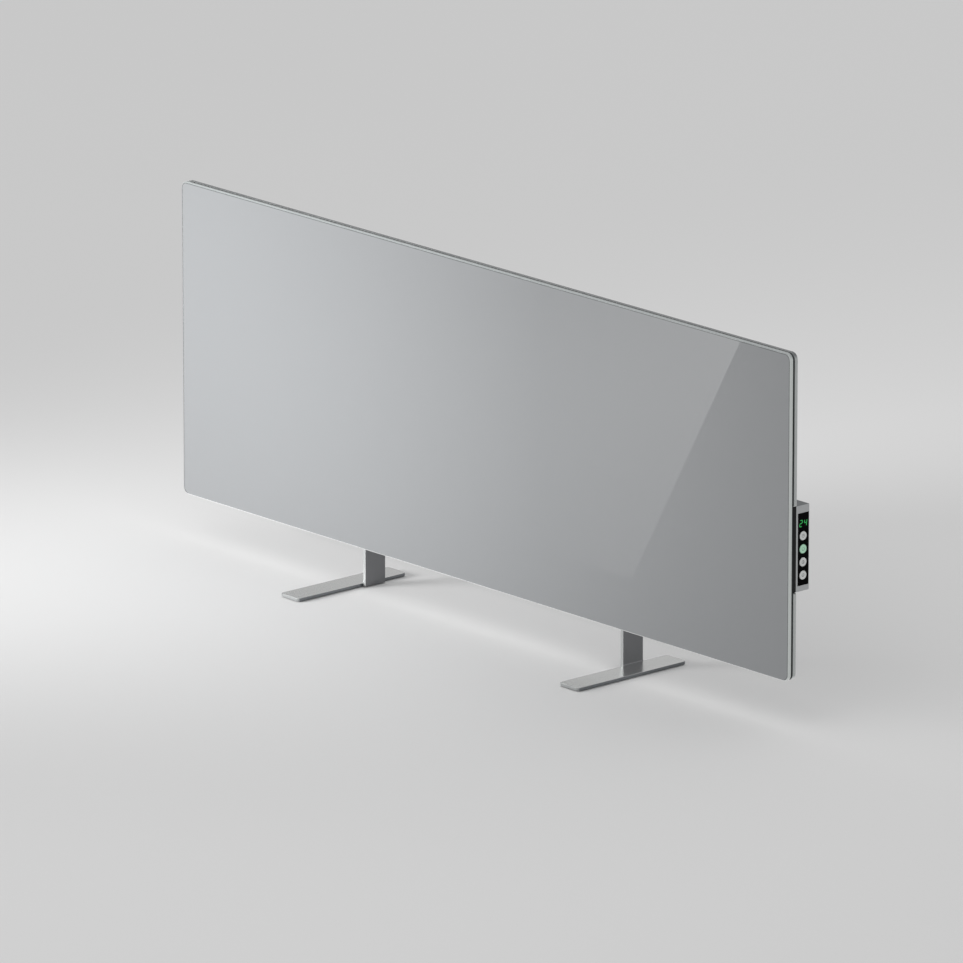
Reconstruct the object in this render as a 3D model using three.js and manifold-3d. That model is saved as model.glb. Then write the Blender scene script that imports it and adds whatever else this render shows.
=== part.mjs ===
// Infrared panel heater: two glass panes with a heating film between them, on two steel legs,
// with a control box behind the right edge. Millimetres, +Z up, the front faces -Y.
// The origin is on the floor, under the middle of the panel.
import * as THREE from 'three';
import { mergeVertices } from 'three/addons/utils/BufferGeometryUtils.js';
import Module from 'manifold-3d';

const wasm = await Module();
wasm.setup();

// ---- Driving dimensions: panel ----
const PANEL_WIDTH = 1100;
const PANEL_HEIGHT = 400;
const PANEL_CORNER_RADIUS = 14;
const PANEL_GROUND_CLEARANCE = 58;
const FRONT_GLASS_THICKNESS = 4.5;
const REAR_GLASS_THICKNESS = 4.5;
const SEAM_DEPTH = 3; // space between the panes
const FRONT_BEVEL = 1.2;
const REAR_ARRIS = 0.8;
const SEAM_ARRIS = 0.4;
const SEAL_RECESS = 1.5;
const SEAL_WIDTH = 8;
const ELEMENT_THICKNESS = 0.3;
const FILM_THICKNESS = 0.5;
const FILM_MARGIN = 8; // film edge to the insulation's edge
const ELEMENT_RUNS = 20; // even, so that both ends come out on the right
const TRACK_WIDTH = 8;
const TRACK_GAP = 4;
const FIELD_MARGIN = 34; // panel edge to the middle of the outer runs
const BUSBAR_WIDTH = 10;

// ---- Driving dimensions: legs ----
const FOOT_LENGTH = 175;
const FOOT_WIDTH = 35;
const FOOT_THICKNESS = 4;
const FOOT_CORNER_RADIUS = 5;
const FOOT_EDGE_ROUND = 0.6;
const FOOT_INNER_X = 237; // middle of the panel to a foot plate's inner edge
const PAD_THICKNESS = 1;
const PAD_MARGIN = 4;
const UPRIGHT_THICKNESS = 5;
const UPRIGHT_DEPTH = 32;
const UPRIGHT_HEIGHT = 150; // floor to the top of the bar
const UPRIGHT_TOP_RADIUS = 8;
const UPRIGHT_STANDOFF = 10.4; // rear pane to the bar's front edge
const BRACKET_THICKNESS = 3;
const BRACKET_HEIGHT = 70;
const BRACKET_RISE = 14; // panel's lower edge to the bracket's lower edge
const BRACKET_CORNER_RADIUS = 4;
const BLOCK_MARGIN = 3; // bracket edge to the mounting block's edge
const BLOCK_BEVEL = 1;
const LEG_SCREW_SPACING = 40;

// ---- Driving dimensions: control box ----
const BOX_WIDTH = 72;
const BOX_HEIGHT = 105;
const BOX_DEPTH = 21.2; // behind the rear pane
const BOX_RISE = 108; // panel's lower edge to the box's lower edge
const BOX_INSET = 1; // panel's right edge to the box's outer side
const BOX_CORNER_RADIUS = 6;
const BOX_OUTER_CORNER_RADIUS = 1;
const BOX_EDGE_ROUND = 0.8;
const HOUSING_WALL = 1;
const BASE_FLOOR = 1.5;
const BASE_WALL = 2;
const NOTCH_CORNER_RADIUS = 2;
const BEZEL_FRONT = 2.7;
const BEZEL_TOP = 9.4;
const BEZEL_BOTTOM = 7;
const FASCIA_RECESS = 0.2;
const FASCIA_FLANGE = 1;
const FASCIA_LAP = 1.5;
const FLANGE_GAP = 0.5; // fascia's flange to the housing's walls
const PILLAR_RADIUS = 2.3;
const DISPLAY_DROP = 12.9; // fascia's top to the middle of the digits
const DISPLAY_WIDTH = 15;
const DISPLAY_HEIGHT = 12.6;
const DIGIT_HEIGHT = 8.6;
const DIGIT_WIDTH = 4.6;
const DIGIT_PITCH = 7.2;
const DIGIT_SLANT = 0.14;
const SEGMENT_WIDTH = 1;
const SEGMENT_DEPTH = 0.4;
const FIRST_BUTTON_DROP = 28.4; // fascia's top to the first button's middle
const LAST_BUTTON_RISE = 12.2; // fascia's bottom to the last button's middle
const BUTTON_RADIUS = 5.4;
const BUTTON_PROUD = 0.3; // housing's side to the button's face
const BUTTON_TRAVEL = 0.5;
const COLLAR_RADIUS = 6.2;
const COLLAR_THICKNESS = 0.8;
const STEM_RADIUS = 1.6;
const STEM_LENGTH = 2.7;
const SWITCH_SIZE = 6.2;
const SWITCH_DEPTH = 3.5;
const PLUNGER_RADIUS = 1.7;
const PLUNGER_DEPTH = 1.2; // inside the switch at rest
const BOARD_THICKNESS = 1.6;
const POST_RADIUS = 3.4;
const POST_INSET = 6; // box's side to a post's middle
const POST_BACKSET = 3; // power board's edge to the middle of the outer posts
const STANDOFF_HEIGHT = 5;
const STANDOFF_RADIUS = 2.6;
const POWER_BOARD_LEFT = 4; // box's left side to the board's edge
const POWER_BOARD_RIGHT = 1.9; // control board's screws to the power board's edge
const POWER_BOARD_ENDS = 1.6; // posts to the power board's upper and lower edge
const ROOF_GAP = 1.6; // tall parts on the power board to the housing's rear wall
const LEAD_RADIUS = 0.9;
const LEAD_SPACING = 43;
const BUSBAR_LEFT = 14; // box's left side to the busbars' edge
const GLAND_THREAD_RADIUS = 6;
const GLAND_BORE_RADIUS = 3.75;
const GLAND_LENGTH = 14;
const GLAND_BODY_RADIUS = 7.6;
const GLAND_FLANGE_RADIUS = 9;
const GLAND_NUT_RADIUS = 8.6;
const GLAND_NUT_HEIGHT = 4;
const GLAND_FLUTES = 12;
const GLAND_LEFT = 24; // box's left side to the gland's axis
const SENSOR_RADIUS = 2;
const cutout = { left: 31, bottom: 48, width: 16, height: 8, thickness: 4, radius: 1.5 };

// ---- Driving dimensions: parts on the power board, placed from the board's edges ----
const relay = { left: 8, bottom: 22, width: 15.5, height: 19, bevel: 0.8 };
const transformer = { left: 8, top: 3, width: 20, height: 24, limb: 4.5, bobbin: 1.5 };
const capacitor = { right: 13, top: 13, radius: 5, headroom: 2.5 };
const fuse = { right: 17, bottom: 30, length: 22, radius: 2.4, clip: 3 };
const tiltSwitch = { right: 2, bottom: 36, width: 9, height: 11, depth: 9 };
const terminals = { bottom: 7.5, ways: 3, pitch: 6.5, height: 10, depth: 11, wall: 1.2 };

// ---- Driving dimensions: screws ----
const legScrew = { headRadius: 4.75, headHeight: 2.75, shankRadius: 2.5, length: 8 };
const housingScrew = { headRadius: 2.75, headHeight: 1.8, shankRadius: 1.5, length: 10 };
const boardScrew = { headRadius: 2.1, headHeight: 1.4, shankRadius: 0.9, length: 5 };

// ---- Clearances and fineness ----
const CLEARANCE = 0.3; // between pieces that pass through or lie inside each other
const FIT = 0.15; // around the fascia in its window
const CORNER_STEPS = 6;
const ROUND_STEPS = 22;
const SMALL_ROUND_STEPS = 12;
const EDGE_STEPS = 3;

// ---- Places worked out from the dimensions ----
const panelThickness = FRONT_GLASS_THICKNESS + SEAM_DEPTH + REAR_GLASS_THICKNESS;
const panelRight = PANEL_WIDTH / 2;
const frontFace = -panelThickness / 2;
const seamFront = frontFace + FRONT_GLASS_THICKNESS;
const elementBack = seamFront + ELEMENT_THICKNESS;
const filmBack = elementBack + FILM_THICKNESS;
const seamRear = seamFront + SEAM_DEPTH;
const rearFace = panelThickness / 2;
const sealInner = SEAL_RECESS + SEAL_WIDTH;

// The control box's own frame: x = 0 at its outer side, y = 0 on the rear pane, z = 0 at its bottom.
const boxLeft = -BOX_WIDTH;
const boxOrigin = new THREE.Vector3(panelRight - BOX_INSET, rearFace, BOX_RISE);
const baseFront = seamRear - rearFace;
const baseFloorTop = baseFront + BASE_FLOOR;
const housingRearInside = BOX_DEPTH - HOUSING_WALL;
const windowBottom = BEZEL_BOTTOM;
const windowTop = BOX_HEIGHT - BEZEL_TOP;
const windowFront = BEZEL_FRONT;
const windowRear = housingRearInside;
const windowMiddle = (windowFront + windowRear) / 2;
const fasciaBack = -HOUSING_WALL - FASCIA_FLANGE;
const collarFront = fasciaBack - CLEARANCE;
const collarBack = collarFront - COLLAR_THICKNESS;
const stemEnd = collarBack - STEM_LENGTH;
const switchFront = stemEnd - BUTTON_TRAVEL - CLEARANCE;
const boardFront = switchFront - SWITCH_DEPTH;
const boardBack = boardFront - BOARD_THICKNESS;
const powerBoardFront = baseFloorTop + STANDOFF_HEIGHT;
const powerBoardRear = powerBoardFront + BOARD_THICKNESS;
const powerBoardLeft = boxLeft + POWER_BOARD_LEFT;
const powerBoardRight = boardBack - boardScrew.headHeight - POWER_BOARD_RIGHT;
const powerBoardWidth = powerBoardRight - powerBoardLeft;
const powerBoardBottom = POST_INSET + POST_RADIUS + POWER_BOARD_ENDS;
const powerBoardTop = BOX_HEIGHT - powerBoardBottom;
const powerBoardHeight = powerBoardTop - powerBoardBottom;
const tallPartDepth = housingRearInside - powerBoardRear - ROOF_GAP;
const outerPostX = powerBoardRight - POST_BACKSET;
const glandX = boxLeft + GLAND_LEFT;
const glandY = BOX_DEPTH / 2;
const sensorX = (glandX + GLAND_FLANGE_RADIUS + outerPostX - POST_RADIUS) / 2;
const busbarLeft = boxLeft + BUSBAR_LEFT;
const leadX = busbarLeft + BUSBAR_WIDTH / 2;
const leadHeights = [(BOX_HEIGHT - LEAD_SPACING) / 2, (BOX_HEIGHT + LEAD_SPACING) / 2];

// ---- Finishes ----
const finish = (color, roughness, metalness) => new THREE.MeshStandardMaterial({ color, roughness, metalness });
const FRONT_GLASS = finish(0xa4a7a8, 0.08, 0);
const REAR_GLASS = finish(0x90959a, 0.1, 0);
const SEAL = finish(0x1b1c1d, 0.7, 0);
const CARBON = finish(0x26262a, 0.6, 0.2);
const FILM = finish(0xb98a4a, 0.5, 0);
const COPPER = finish(0xb8734a, 0.35, 1);
const MINERAL_WOOL = finish(0xd8d4c8, 0.95, 0);
const SATIN_STEEL = finish(0x8a8e90, 0.32, 0.9);
const ALUMINIUM = finish(0xb4b7b9, 0.4, 0.9);
const BLACK_PLASTIC = finish(0x17181a, 0.5, 0);
const GLOSS_BLACK = finish(0x050506, 0.06, 0);
const HOUSING_METAL = finish(0x94979a, 0.42, 0.8);
const BUTTON_PLASTIC = finish(0xc4c6c5, 0.45, 0);
const LIT_BUTTON_PLASTIC = finish(0xa4cfb4, 0.45, 0);
const CIRCUIT_BOARD = finish(0x1e5a38, 0.55, 0);
const SWITCH_BLACK = finish(0x202022, 0.5, 0);
const PLUNGER_GREY = finish(0xd0d0cc, 0.5, 0);
const RUBBER = finish(0x1a1a1b, 0.9, 0);
const ZINC = finish(0xc2c5c7, 0.3, 1);
const RELAY_BLUE = finish(0x2c5fa8, 0.45, 0);
const FERRITE = finish(0x3a3a3c, 0.6, 0.1);
const TERMINAL_GREEN = finish(0x2f8a50, 0.5, 0);
const CAPACITOR_SLEEVE = finish(0x2a2a52, 0.4, 0);
const LEAD_SLEEVE = finish(0x8b3a30, 0.6, 0);
const FUSE_CERAMIC = finish(0xd9d5ca, 0.5, 0);

// ---- Outlines ----

// A right-angled outline, listed anticlockwise as [u, v, corner radius]. Corners with a radius
// become arcs of as many points at every inset, also where the radius has shrunk to nothing.
function outlinePoints(corners) {
  const points = [];
  corners.forEach(([u, v, radius], index) => {
    const [lastU, lastV] = corners[(index + corners.length - 1) % corners.length];
    const [nextU, nextV] = corners[(index + 1) % corners.length];
    const along = new THREE.Vector2(u - lastU, v - lastV).normalize();
    const away = new THREE.Vector2(nextU - u, nextV - v).normalize();
    if (radius === undefined) {
      points.push(new THREE.Vector2(u, v));
      return;
    }
    for (let step = 0; step <= CORNER_STEPS; step += 1) {
      const angle = (step / CORNER_STEPS) * (Math.PI / 2);
      const point = new THREE.Vector2(u, v);
      point.addScaledVector(along, radius * (Math.sin(angle) - 1));
      point.addScaledVector(away, radius * (1 - Math.cos(angle)));
      points.push(point);
    }
  });
  return points;
}

function rectangle(left, bottom, right, top, radius = 0, inset = 0) {
  const corner = radius > 0 ? Math.max(radius - inset, 0) : undefined;
  return outlinePoints([
    [left + inset, bottom + inset, corner],
    [right - inset, bottom + inset, corner],
    [right - inset, top - inset, corner],
    [left + inset, top - inset, corner],
  ]);
}

function circle(radius, u, v, sides = SMALL_ROUND_STEPS) {
  const points = [];
  for (let step = 0; step < sides; step += 1) {
    const angle = (step / sides) * 2 * Math.PI;
    points.push(new THREE.Vector2(u + radius * Math.cos(angle), v + radius * Math.sin(angle)));
  }
  return points;
}

const panelOutline = (inset) =>
  rectangle(-panelRight, 0, panelRight, PANEL_HEIGHT, PANEL_CORNER_RADIUS, inset);

// The control box seen from behind: round corners on the panel's side, crisp ones on the outer side.
function boxOutline(inset) {
  const round = BOX_CORNER_RADIUS - inset;
  const crisp = Math.max(BOX_OUTER_CORNER_RADIUS - inset, 0);
  return outlinePoints([
    [boxLeft + inset, inset, round],
    [-inset, inset, crisp],
    [-inset, BOX_HEIGHT - inset, crisp],
    [boxLeft + inset, BOX_HEIGHT - inset, round],
  ]);
}

// The rear pane: the panel's outline with a notch in its right edge that the control box's base fills.
function rearPaneOutline(inset) {
  const outer = PANEL_CORNER_RADIUS - inset;
  const mouth = NOTCH_CORNER_RADIUS - inset;
  const inner = BOX_CORNER_RADIUS + CLEARANCE + inset;
  const notchLeft = boxOrigin.x + boxLeft - CLEARANCE - inset;
  const notchBottom = BOX_RISE - CLEARANCE - inset;
  const notchTop = BOX_RISE + BOX_HEIGHT + CLEARANCE + inset;
  const right = panelRight - inset;
  return outlinePoints([
    [-right, inset, outer],
    [right, inset, outer],
    [right, notchBottom, mouth],
    [notchLeft, notchBottom, inner],
    [notchLeft, notchTop, inner],
    [right, notchTop, mouth],
    [right, PANEL_HEIGHT - inset, outer],
    [-right, PANEL_HEIGHT - inset, outer],
  ]);
}

// ---- Solids ----

// Turns a solid drawn in u and v, and thick along w, so that it is thick along the named axis:
// drawn in y and z for x, in x and z for y (thick towards -y), and in x and y for z.
function turn(geometry, axis) {
  if (axis === 'y') {
    return geometry.rotateX(Math.PI / 2);
  }
  if (axis === 'x') {
    const [x, y, z] = [new THREE.Vector3(1, 0, 0), new THREE.Vector3(0, 1, 0), new THREE.Vector3(0, 0, 1)];
    return geometry.applyMatrix4(new THREE.Matrix4().makeBasis(y, z, x));
  }
  return geometry;
}

// A prism. Its ends are set and not shifted, so that pieces that touch share the very same place.
function extrude(points, from, to, axis, holes = []) {
  const shape = new THREE.Shape(points);
  shape.holes = holes.map((hole) => new THREE.Path(hole));
  const geometry = new THREE.ExtrudeGeometry(shape, { depth: 1, bevelEnabled: false });
  const [near, far] = axis === 'y' ? [-to, -from] : [from, to];
  const { position } = geometry.attributes;
  for (let corner = 0; corner < position.count; corner += 1) {
    position.setZ(corner, position.getZ(corner) > 0 ? far : near);
  }
  return turn(geometry, axis);
}

// A solid between outlines that shrink by an inset at each level: levels are [place, inset].
function loft(outlineAt, levels, axis) {
  const sign = axis === 'y' ? -1 : 1;
  const rings = levels.map(([place, inset]) => ({ place: sign * place, points: outlineAt(inset) }));
  rings.sort((one, other) => one.place - other.place);
  const count = rings[0].points.length;
  const positions = rings.flatMap(({ place, points }) => points.flatMap(({ x, y }) => [x, y, place]));
  const index = [];
  for (let ring = 0; ring < rings.length - 1; ring += 1) {
    for (let point = 0; point < count; point += 1) {
      const next = (point + 1) % count;
      const [a, b] = [ring * count + point, ring * count + next];
      index.push(a, b, b + count, a, b + count, a + count);
    }
  }
  const capOffset = (rings.length - 1) * count;
  for (const [a, b, c] of THREE.ShapeUtils.triangulateShape(rings[0].points, [])) {
    index.push(c, b, a);
  }
  for (const [a, b, c] of THREE.ShapeUtils.triangulateShape(rings[rings.length - 1].points, [])) {
    index.push(capOffset + a, capOffset + b, capOffset + c);
  }
  const geometry = new THREE.BufferGeometry();
  geometry.setAttribute('position', new THREE.Float32BufferAttribute(positions, 3));
  geometry.setIndex(index);
  return turn(geometry, axis);
}

// Levels of a quarter-round edge that ends at the given place, for loft().
function roundedEdge(place, radius, direction) {
  const levels = [];
  for (let step = 0; step <= EDGE_STEPS; step += 1) {
    const angle = (step / EDGE_STEPS) * (Math.PI / 2);
    levels.push([place - direction * radius * (1 - Math.sin(angle)), radius * (1 - Math.cos(angle))]);
  }
  return levels;
}

// A block with bevelled edges on the side that faces away from what it stands on.
function bevelledBlock(left, bottom, right, top, radius, from, to, bevel, axis) {
  const outline = (inset) => rectangle(left, bottom, right, top, radius, inset);
  return loft(outline, [[from, 0], [to - bevel, 0], [to, bevel]], axis);
}

function rod(radius, from, to, axis, centre, sides = ROUND_STEPS) {
  const geometry = new THREE.CylinderGeometry(radius, radius, to - from, sides);
  geometry.translate(0, (from + to) / 2, 0);
  return along(geometry, axis).translate(...centre);
}

// Turns a solid that stands on +Y so that it stands on the named axis.
function along(geometry, axis) {
  if (axis === 'x') {
    return geometry.rotateZ(-Math.PI / 2);
  }
  return axis === 'z' ? geometry.rotateX(Math.PI / 2) : geometry;
}

// A turned solid: the profile is a list of [radius, height] that starts and ends on the axis,
// or closes on itself.
function turned(profile, axis, sides = ROUND_STEPS) {
  const points = profile.map(([radius, height]) => new THREE.Vector2(radius, height));
  return along(new THREE.LatheGeometry(points, sides), axis);
}

// One closed body with shared corners, without the empty triangles that a turned pole leaves.
function weld(geometry) {
  const bare = geometry.clone();
  bare.deleteAttribute('normal');
  bare.deleteAttribute('uv');
  const merged = mergeVertices(bare);
  const index = [];
  for (let start = 0; start < merged.index.count; start += 3) {
    const triangle = [0, 1, 2].map((offset) => merged.index.getX(start + offset));
    if (new Set(triangle).size === 3) {
      index.push(...triangle);
    }
  }
  merged.setIndex(index);
  return merged;
}

function solidOf(geometry) {
  const welded = weld(geometry);
  const vertProperties = new Float32Array(welded.attributes.position.array);
  const triVerts = new Uint32Array(welded.index.array);
  return new wasm.Manifold(new wasm.Mesh({ numProp: 3, vertProperties, triVerts }));
}

function geometryOf(solid) {
  const mesh = solid.getMesh();
  const geometry = new THREE.BufferGeometry();
  geometry.setAttribute('position', new THREE.Float32BufferAttribute(mesh.vertProperties, 3));
  geometry.setIndex(Array.from(mesh.triVerts));
  return geometry;
}

const cut = (body, ...tools) =>
  geometryOf(tools.reduce((rest, tool) => rest.subtract(solidOf(tool)), solidOf(body)));
const join = (body, ...others) =>
  geometryOf(others.reduce((whole, other) => whole.add(solidOf(other)), solidOf(body)));

const heater = new THREE.Group();

function addPiece(group, name, material, geometry) {
  const mesh = new THREE.Mesh(weld(geometry), material);
  mesh.geometry.computeVertexNormals();
  mesh.name = name;
  group.add(mesh);
  return mesh;
}

// A screw with a domed head and a hexagon socket. It stands on +Y with its head's underside at 0.
function screwGeometry(headRadius, headHeight, shankRadius, shankLength) {
  const tip = shankRadius * 0.5;
  const body = turned([
    [0, -shankLength],
    [tip, -shankLength],
    [shankRadius, -shankLength + tip],
    [shankRadius, 0],
    [headRadius, 0],
    [headRadius, headHeight * 0.5],
    [headRadius * 0.7, headHeight],
    [0, headHeight],
  ], 'y', SMALL_ROUND_STEPS);
  const socket = rod(headRadius * 0.42, headHeight * 0.4, headHeight * 2, 'y', [0, 0, 0], 6);
  return cut(body, socket);
}

// ---- Panel ----
const panel = new THREE.Group();
panel.position.z = PANEL_GROUND_CLEARANCE;
heater.add(panel);

function buildPanes() {
  addPiece(panel, 'front_glass', FRONT_GLASS, loft(panelOutline, [
    [frontFace, FRONT_BEVEL],
    [frontFace + FRONT_BEVEL, 0],
    [seamFront - SEAM_ARRIS, 0],
    [seamFront, SEAM_ARRIS],
  ], 'y'));
  addPiece(panel, 'rear_glass', REAR_GLASS, loft(rearPaneOutline, [
    [seamRear, SEAM_ARRIS],
    [seamRear + SEAM_ARRIS, 0],
    [rearFace - REAR_ARRIS, 0],
    [rearFace, REAR_ARRIS],
  ], 'y'));
  const seal = extrude(panelOutline(SEAL_RECESS), seamFront, seamRear, 'y', [panelOutline(sealInner)]);
  addPiece(panel, 'perimeter_seal', SEAL, seal);
}

// The overheat cut-out lies on the film's back, in a window through the insulation and the base.
const cutoutOutline = (inset) => rectangle(
  boxLeft + cutout.left,
  cutout.bottom,
  boxLeft + cutout.left + cutout.width,
  cutout.bottom + cutout.height,
  cutout.radius,
  inset,
);
const cutoutWindow = () => cutoutOutline(-CLEARANCE);

// An outline of the control box's frame, moved into the panel's frame.
const inPanel = (points) => points.map(({ x, y }) => new THREE.Vector2(x + boxOrigin.x, y + boxOrigin.z));

function buildHeatingLayers() {
  const leadHole = (radius) => leadHeights.map((height) => inPanel(circle(radius, leadX, height)));
  const insulationInset = sealInner + CLEARANCE;
  addPiece(panel, 'insulation_mat', MINERAL_WOOL, extrude(
    panelOutline(insulationInset),
    filmBack,
    seamRear,
    'y',
    [inPanel(cutoutWindow()), ...leadHole(LEAD_RADIUS + 2 * CLEARANCE)],
  ));
  addPiece(panel, 'heating_film', FILM, extrude(
    panelOutline(insulationInset + FILM_MARGIN),
    elementBack,
    filmBack,
    'y',
    leadHole(LEAD_RADIUS + CLEARANCE),
  ));
  addPiece(panel, 'heating_element', CARBON, extrude(serpentine(), seamFront, elementBack, 'y'));
}

// The heating element: level runs joined by half-round turns, both ends at the busbars on the right.
const trackPitch = (PANEL_HEIGHT - 2 * FIELD_MARGIN) / (ELEMENT_RUNS - 1);
const trackEnd = boxOrigin.x + busbarLeft;
const turnRight = trackEnd - TRACK_GAP - (trackPitch + TRACK_WIDTH) / 2;
const turnLeft = -panelRight + FIELD_MARGIN + (trackPitch + TRACK_WIDTH) / 2;

function serpentine() {
  const left = [];
  const right = [];
  const place = (x, z, heading) => {
    const side = new THREE.Vector2(-Math.sin(heading), Math.cos(heading)).multiplyScalar(TRACK_WIDTH / 2);
    left.push(new THREE.Vector2(x, z).add(side));
    right.push(new THREE.Vector2(x, z).sub(side));
  };
  for (let run = 0; run < ELEMENT_RUNS; run += 1) {
    const height = FIELD_MARGIN + run * trackPitch;
    const leftwards = run % 2 === 0;
    const heading = leftwards ? Math.PI : 0;
    const first = run === 0 ? trackEnd : (leftwards ? turnRight : turnLeft);
    const last = run === ELEMENT_RUNS - 1 ? trackEnd : (leftwards ? turnLeft : turnRight);
    place(first, height, heading);
    place(last, height, heading);
    for (let step = 1; step < CORNER_STEPS && run < ELEMENT_RUNS - 1; step += 1) {
      const swept = (step / CORNER_STEPS) * Math.PI;
      const angle = leftwards ? -Math.PI / 2 - swept : -Math.PI / 2 + swept;
      const x = last + (trackPitch / 2) * Math.cos(angle);
      const z = height + (trackPitch / 2) * (1 + Math.sin(angle));
      place(x, z, leftwards ? Math.PI - swept : swept);
    }
  }
  return [...left, ...right.reverse()];
}

function buildBusbars() {
  const [lowerLead, upperLead] = leadHeights.map((height) => boxOrigin.z + height);
  const outerRun = FIELD_MARGIN - TRACK_WIDTH / 2;
  const spans = {
    busbar_lower: [outerRun, lowerLead + BUSBAR_WIDTH / 2],
    busbar_upper: [upperLead - BUSBAR_WIDTH / 2, PANEL_HEIGHT - outerRun],
  };
  for (const [name, [bottom, top]] of Object.entries(spans)) {
    const outline = rectangle(trackEnd, bottom, trackEnd + BUSBAR_WIDTH, top);
    addPiece(panel, name, COPPER, extrude(outline, seamFront, elementBack, 'y'));
  }
}

// ---- Legs: each is a foot plate with a flat bar on its inner side, and a bracket plate on the
// bar's front edge that is screwed to a block on the rear pane ----
function buildLeg(name, side) {
  const leg = new THREE.Group();
  leg.position.x = side * FOOT_INNER_X;
  heater.add(leg);
  const between = (near, far) => [side * near, side * far].sort((one, other) => one - other);
  const footTop = PAD_THICKNESS + FOOT_THICKNESS;
  const halfLength = FOOT_LENGTH / 2;

  const [footLeft, footRight] = between(0, FOOT_WIDTH);
  const footOutline = (inset) =>
    rectangle(footLeft, -halfLength, footRight, halfLength, FOOT_CORNER_RADIUS, inset);
  addPiece(leg, `${name}_foot_plate`, SATIN_STEEL, loft(footOutline, [
    [PAD_THICKNESS, 0],
    ...roundedEdge(footTop, FOOT_EDGE_ROUND, 1),
  ], 'z'));

  addPiece(leg, `${name}_foot_pad`, RUBBER, extrude(
    footOutline(PAD_MARGIN),
    0,
    PAD_THICKNESS,
    'z',
  ));

  const [barLeft, barRight] = between(-UPRIGHT_THICKNESS, 0);
  const barFront = rearFace + UPRIGHT_STANDOFF;
  const barOutline = outlinePoints([
    [barFront, PAD_THICKNESS],
    [barFront + UPRIGHT_DEPTH, PAD_THICKNESS],
    [barFront + UPRIGHT_DEPTH, UPRIGHT_HEIGHT, UPRIGHT_TOP_RADIUS],
    [barFront, UPRIGHT_HEIGHT, UPRIGHT_TOP_RADIUS / 4],
  ]);
  addPiece(leg, `${name}_upright`, SATIN_STEEL, extrude(barOutline, barLeft, barRight, 'x'));

  const bracketBottom = PANEL_GROUND_CLEARANCE + BRACKET_RISE;
  const bracketTop = bracketBottom + BRACKET_HEIGHT;
  const bracketFront = barFront - BRACKET_THICKNESS;
  const [bracketLeft, bracketRight] = between(-UPRIGHT_THICKNESS, FOOT_WIDTH);
  const screwX = (bracketLeft + bracketRight) / 2;
  const screwMiddle = (bracketBottom + bracketTop) / 2;
  const screwHeights = [-1, 1].map((way) => screwMiddle + (way * LEG_SCREW_SPACING) / 2);
  const screwHole = legScrew.shankRadius + CLEARANCE;
  const bracketOutline = rectangle(bracketLeft, bracketBottom, bracketRight, bracketTop, BRACKET_CORNER_RADIUS);
  addPiece(leg, `${name}_bracket`, SATIN_STEEL, extrude(
    bracketOutline,
    bracketFront,
    barFront,
    'y',
    screwHeights.map((height) => circle(screwHole, screwX, height)),
  ));

  const block = bevelledBlock(
    bracketLeft + BLOCK_MARGIN,
    bracketBottom + BLOCK_MARGIN,
    bracketRight - BLOCK_MARGIN,
    bracketTop - BLOCK_MARGIN,
    BRACKET_CORNER_RADIUS,
    rearFace,
    bracketFront,
    BLOCK_BEVEL,
    'y',
  );
  const threadEnd = barFront - legScrew.length - CLEARANCE;
  const threads = screwHeights.map((height) =>
    rod(screwHole, threadEnd, bracketFront + 1, 'y', [screwX, 0, height], SMALL_ROUND_STEPS));
  addPiece(leg, `${name}_mounting_block`, ALUMINIUM, cut(block, ...threads));

  screwHeights.forEach((height, index) => {
    const { headRadius, headHeight, shankRadius, length } = legScrew;
    const screw = addPiece(
      leg,
      `${name}_screw_${index === 0 ? 'lower' : 'upper'}`,
      ZINC,
      screwGeometry(headRadius, headHeight, shankRadius, length),
    );
    screw.position.set(screwX, barFront, height);
  });
}

// ---- Control box ----
const controlBox = new THREE.Group();
controlBox.position.copy(boxOrigin).add(panel.position);
heater.add(controlBox);

const posts = [boxLeft + POST_INSET, outerPostX].flatMap((x) =>
  [POST_INSET, BOX_HEIGHT - POST_INSET].map((z) => [x, z]));
const standoffInset = POWER_BOARD_LEFT;
const standoffs = [powerBoardLeft + standoffInset, powerBoardRight - standoffInset].flatMap((x) =>
  [powerBoardBottom + standoffInset, powerBoardTop - standoffInset].map((z) => [x, z]));
const screwedStandoffs = [standoffs[0], standoffs[3]];

function buildBase() {
  const floor = extrude(boxOutline(0), baseFront, baseFloorTop, 'y', [
    cutoutWindow(),
    ...leadHeights.map((height) => circle(LEAD_RADIUS + 2 * CLEARANCE, leadX, height)),
  ]);
  const wall = extrude(boxOutline(0), baseFront, 0, 'y', [boxOutline(BASE_WALL)]);
  const postSolids = posts.map(([x, z]) => rod(POST_RADIUS, baseFront, housingRearInside, 'y', [x, 0, z], 16));
  const standoffSolids = standoffs.map(([x, z]) =>
    rod(STANDOFF_RADIUS, baseFront, powerBoardFront, 'y', [x, 0, z], SMALL_ROUND_STEPS));
  const postHoles = posts.map(([x, z]) => rod(
    housingScrew.shankRadius + CLEARANCE,
    housingRearInside - housingScrew.length,
    housingRearInside + 1,
    'y',
    [x, 0, z],
    SMALL_ROUND_STEPS,
  ));
  const standoffHoles = screwedStandoffs.map(([x, z]) => rod(
    boardScrew.shankRadius + CLEARANCE,
    powerBoardRear - boardScrew.length - CLEARANCE,
    powerBoardFront + 1,
    'y',
    [x, 0, z],
    SMALL_ROUND_STEPS,
  ));
  const body = join(floor, wall, ...postSolids, ...standoffSolids);
  addPiece(controlBox, 'control_base', BLACK_PLASTIC, cut(body, ...postHoles, ...standoffHoles));
}

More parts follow.
